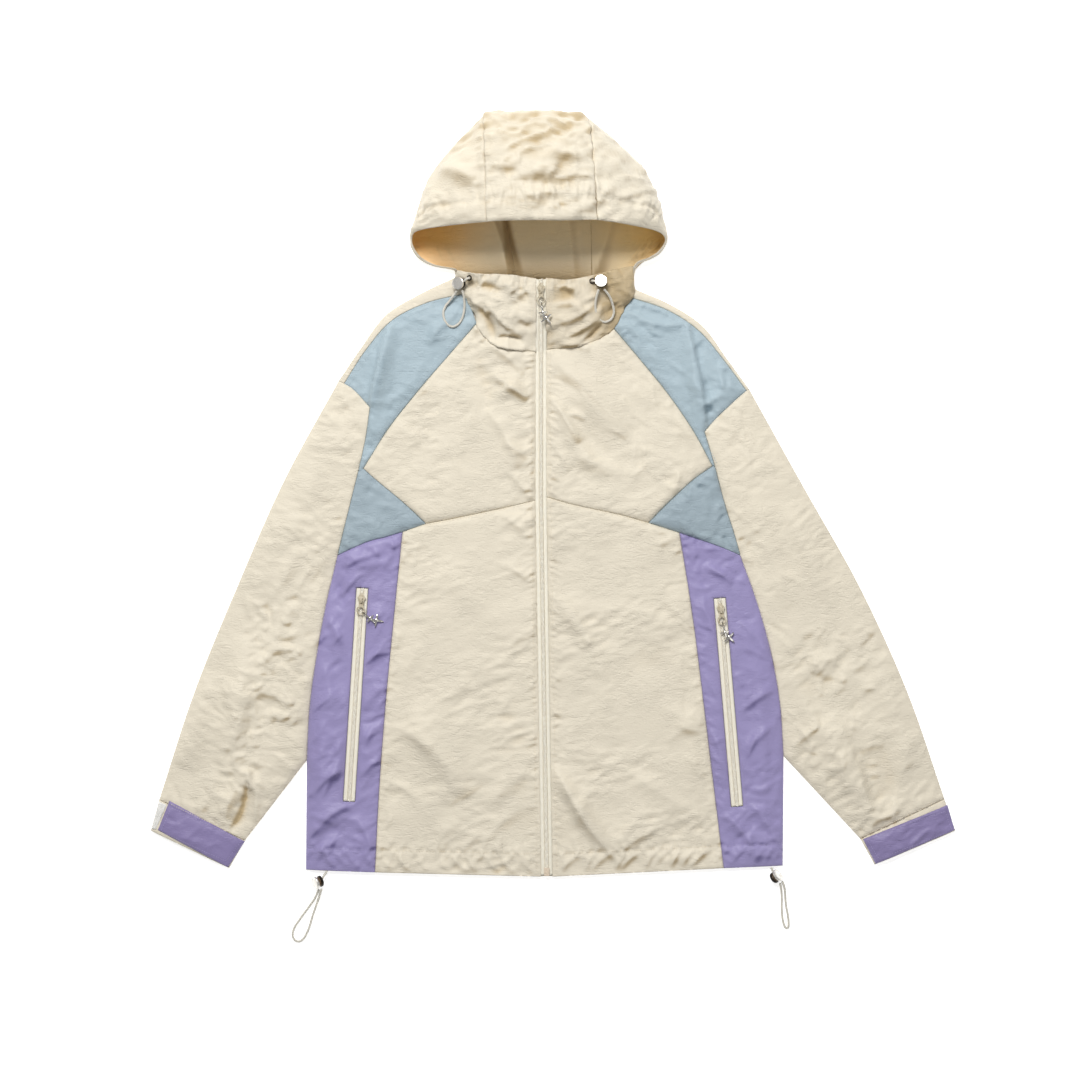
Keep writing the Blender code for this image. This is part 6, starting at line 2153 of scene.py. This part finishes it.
# %% [markdown]
# ## Topstitching
#
# Rows of small stitches hold the seams flat: beside the zip, along the blue panels, round the pockets and
# tabs, and above the hem. A stitch is a short thread that goes in at both ends, so one small capsule is
# modelled, laid along each line at a steady spacing, and dropped on the cloth below it.

# %% Lines of stitches
STITCH_PITCH = 3.1
STITCH_LINES = (
    # seam, thread, toward (out, y), how far from the seam
    ("zip_lower", "cream", (100, 220), 5.2),
    ("zip_upper", "cream", (100, 540), 5.2),
    ("panel_seam", "cream", (100, 220), 1.8),
    ("chest_seam", "cream", (60, 380), 1.8),
    ("neck_front", "cream", (60, 560), 1.8),
    ("front_diagonal", "blue", (180, 640), 1.8),
    ("front_diagonal", "blue", (180, 640), 6.6),
    ("shoulder_seam", "blue", (150, 600), 1.8),
    ("shoulder_seam", "blue", (150, 600), 6.6),
    ("armhole_cap", "blue", (150, 560), 1.8),
    ("armhole_front", "blue", (150, 560), 1.8),
    ("triangle_upper", "blue", (200, 440), 1.8),
    ("triangle_outer", "purple", (220, 340), 1.8),
    ("cuff_seam", "cream", (380, 200), 1.8),
)


def moved_aside(curve, toward, distance):
    """A seam's line moved towards a place."""
    run = unit(np.gradient(curve, axis=0))
    aside = np.column_stack((-run[:, 1], run[:, 0])) * inward_of(curve, toward)
    return curve + aside * distance


def resized(loop, factors):
    return loop.mean(axis=0) + (loop - loop.mean(axis=0)) * factors


def stitch_lines():
    lines = {"cream": [], "blue": [], "purple": []}
    for side in SIDES:
        for name, thread, (out, y), distance in STITCH_LINES:
            lines[thread].append(moved_aside(seam(side, name), (SIDES[side] * out, y), distance))
        hem = np.vstack((seam(side, "hem_panel"), seam(side, "hem_front")[1:])) + (0.0, HEM_CASING)
        panel_end = abs(landmark(side, "panel_hem")[0])
        lines["purple"].append(hem[np.abs(hem[:, 0]) > panel_end])
        lines["cream"].append(hem[np.abs(hem[:, 0]) < panel_end])
        lines["purple"].append(resized(close_loop(pocket_slot(side)), (1.25, 1.012)))
        lines["cream"].append(np.array([(SIDES[side] * 11.0, y) for y in np.linspace(634.0, 712.0, 30)]))
        tab = resized(np.array([(SIDES[side] * x, y) for x, y in TABS[side]]), (0.93, 0.80))
        lines["purple"].append(evenly(close_loop(tab), 80))
    return lines


# %% Lay the stitches on the cloth
def cloth_below():
    """The upper skins as one search tree in metres."""
    points, faces = [], []
    hidden = ("back", "sleeve_under", "cuff_under", "hood")
    for piece in bpy.data.objects:
        if piece.name.endswith("_cloth") and not piece.name.startswith(hidden):
            start = len(points)
            points.extend(vertex.co.copy() for vertex in piece.data.vertices)
            faces.extend(tuple(start + i for i in face.vertices) for face in piece.data.polygons)
    return BVHTree.FromPolygons(points, faces)


def thread_finish(name, light, dark):
    finish = Finish(name, roughness=0.6, sheen=0.2)
    strand = finish.noise(2200.0, 1.0)
    finish.colour(finish.blend(strand, linear(light), linear(dark)))
    finish.bump(strand, 0.0001)
    return finish


THREADS = {
    "cream": thread_finish("cream_thread", "efe6d3", "d2c5ab"),
    "blue": thread_finish("blue_thread", "c2d0d6", "9fb0b9"),
    "purple": thread_finish("purple_thread", "b3a9cf", "8d83ab"),
}


def model_stitch():
    deselect()
    bpy.ops.mesh.primitive_uv_sphere_add(segments=6, ring_count=4, radius=1.0 * MM)
    reshape((0.30, 1.18, 0.26))
    return bpy.context.active_object


def lay_stitches():
    tree = cloth_below()
    down = Vector((0.0, 0.0, -1.0))
    for thread, lines in stitch_lines().items():
        places, lays = [], []
        for line in lines:
            spots = evenly(line, round(length_of(line) / STITCH_PITCH))
            ends = to_world(np.column_stack((spots, np.full(len(spots), 200.0))))
            hits = [tree.ray_cast(Vector(end), down)[0] for end in ends]
            for first, second in zip(hits[:-1], hits[1:]):
                if first is None or second is None:
                    continue
                along = np.array(second - first)
                if abs(along[2]) > 0.004:
                    continue
                along /= np.linalg.norm(along)
                across = np.cross(along, (0.0, 0.0, 1.0))
                across /= np.linalg.norm(across)
                middle = np.array((first + second) / 2) / MM + (CENTRE_X, CENTRE_Y, 0.12)
                places.append(middle)
                lays.append(np.array((across, along, np.cross(across, along))))
        repeated(f"{thread}_topstitches", model_stitch(), np.array(places), THREADS[thread], thread, lays)
        print(thread, "stitches", len(places))


lay_stitches()

# %% Print both boxes and finish
def write_sizes():
    sizes = {"cad": [list(corner) for corner in solid_box], "visual": [list(c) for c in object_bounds()]}
    for name, (low, high) in sizes.items():
        print(name, [round((b - a) * 1000, 1) for a, b in zip(low, high)])


write_sizes()
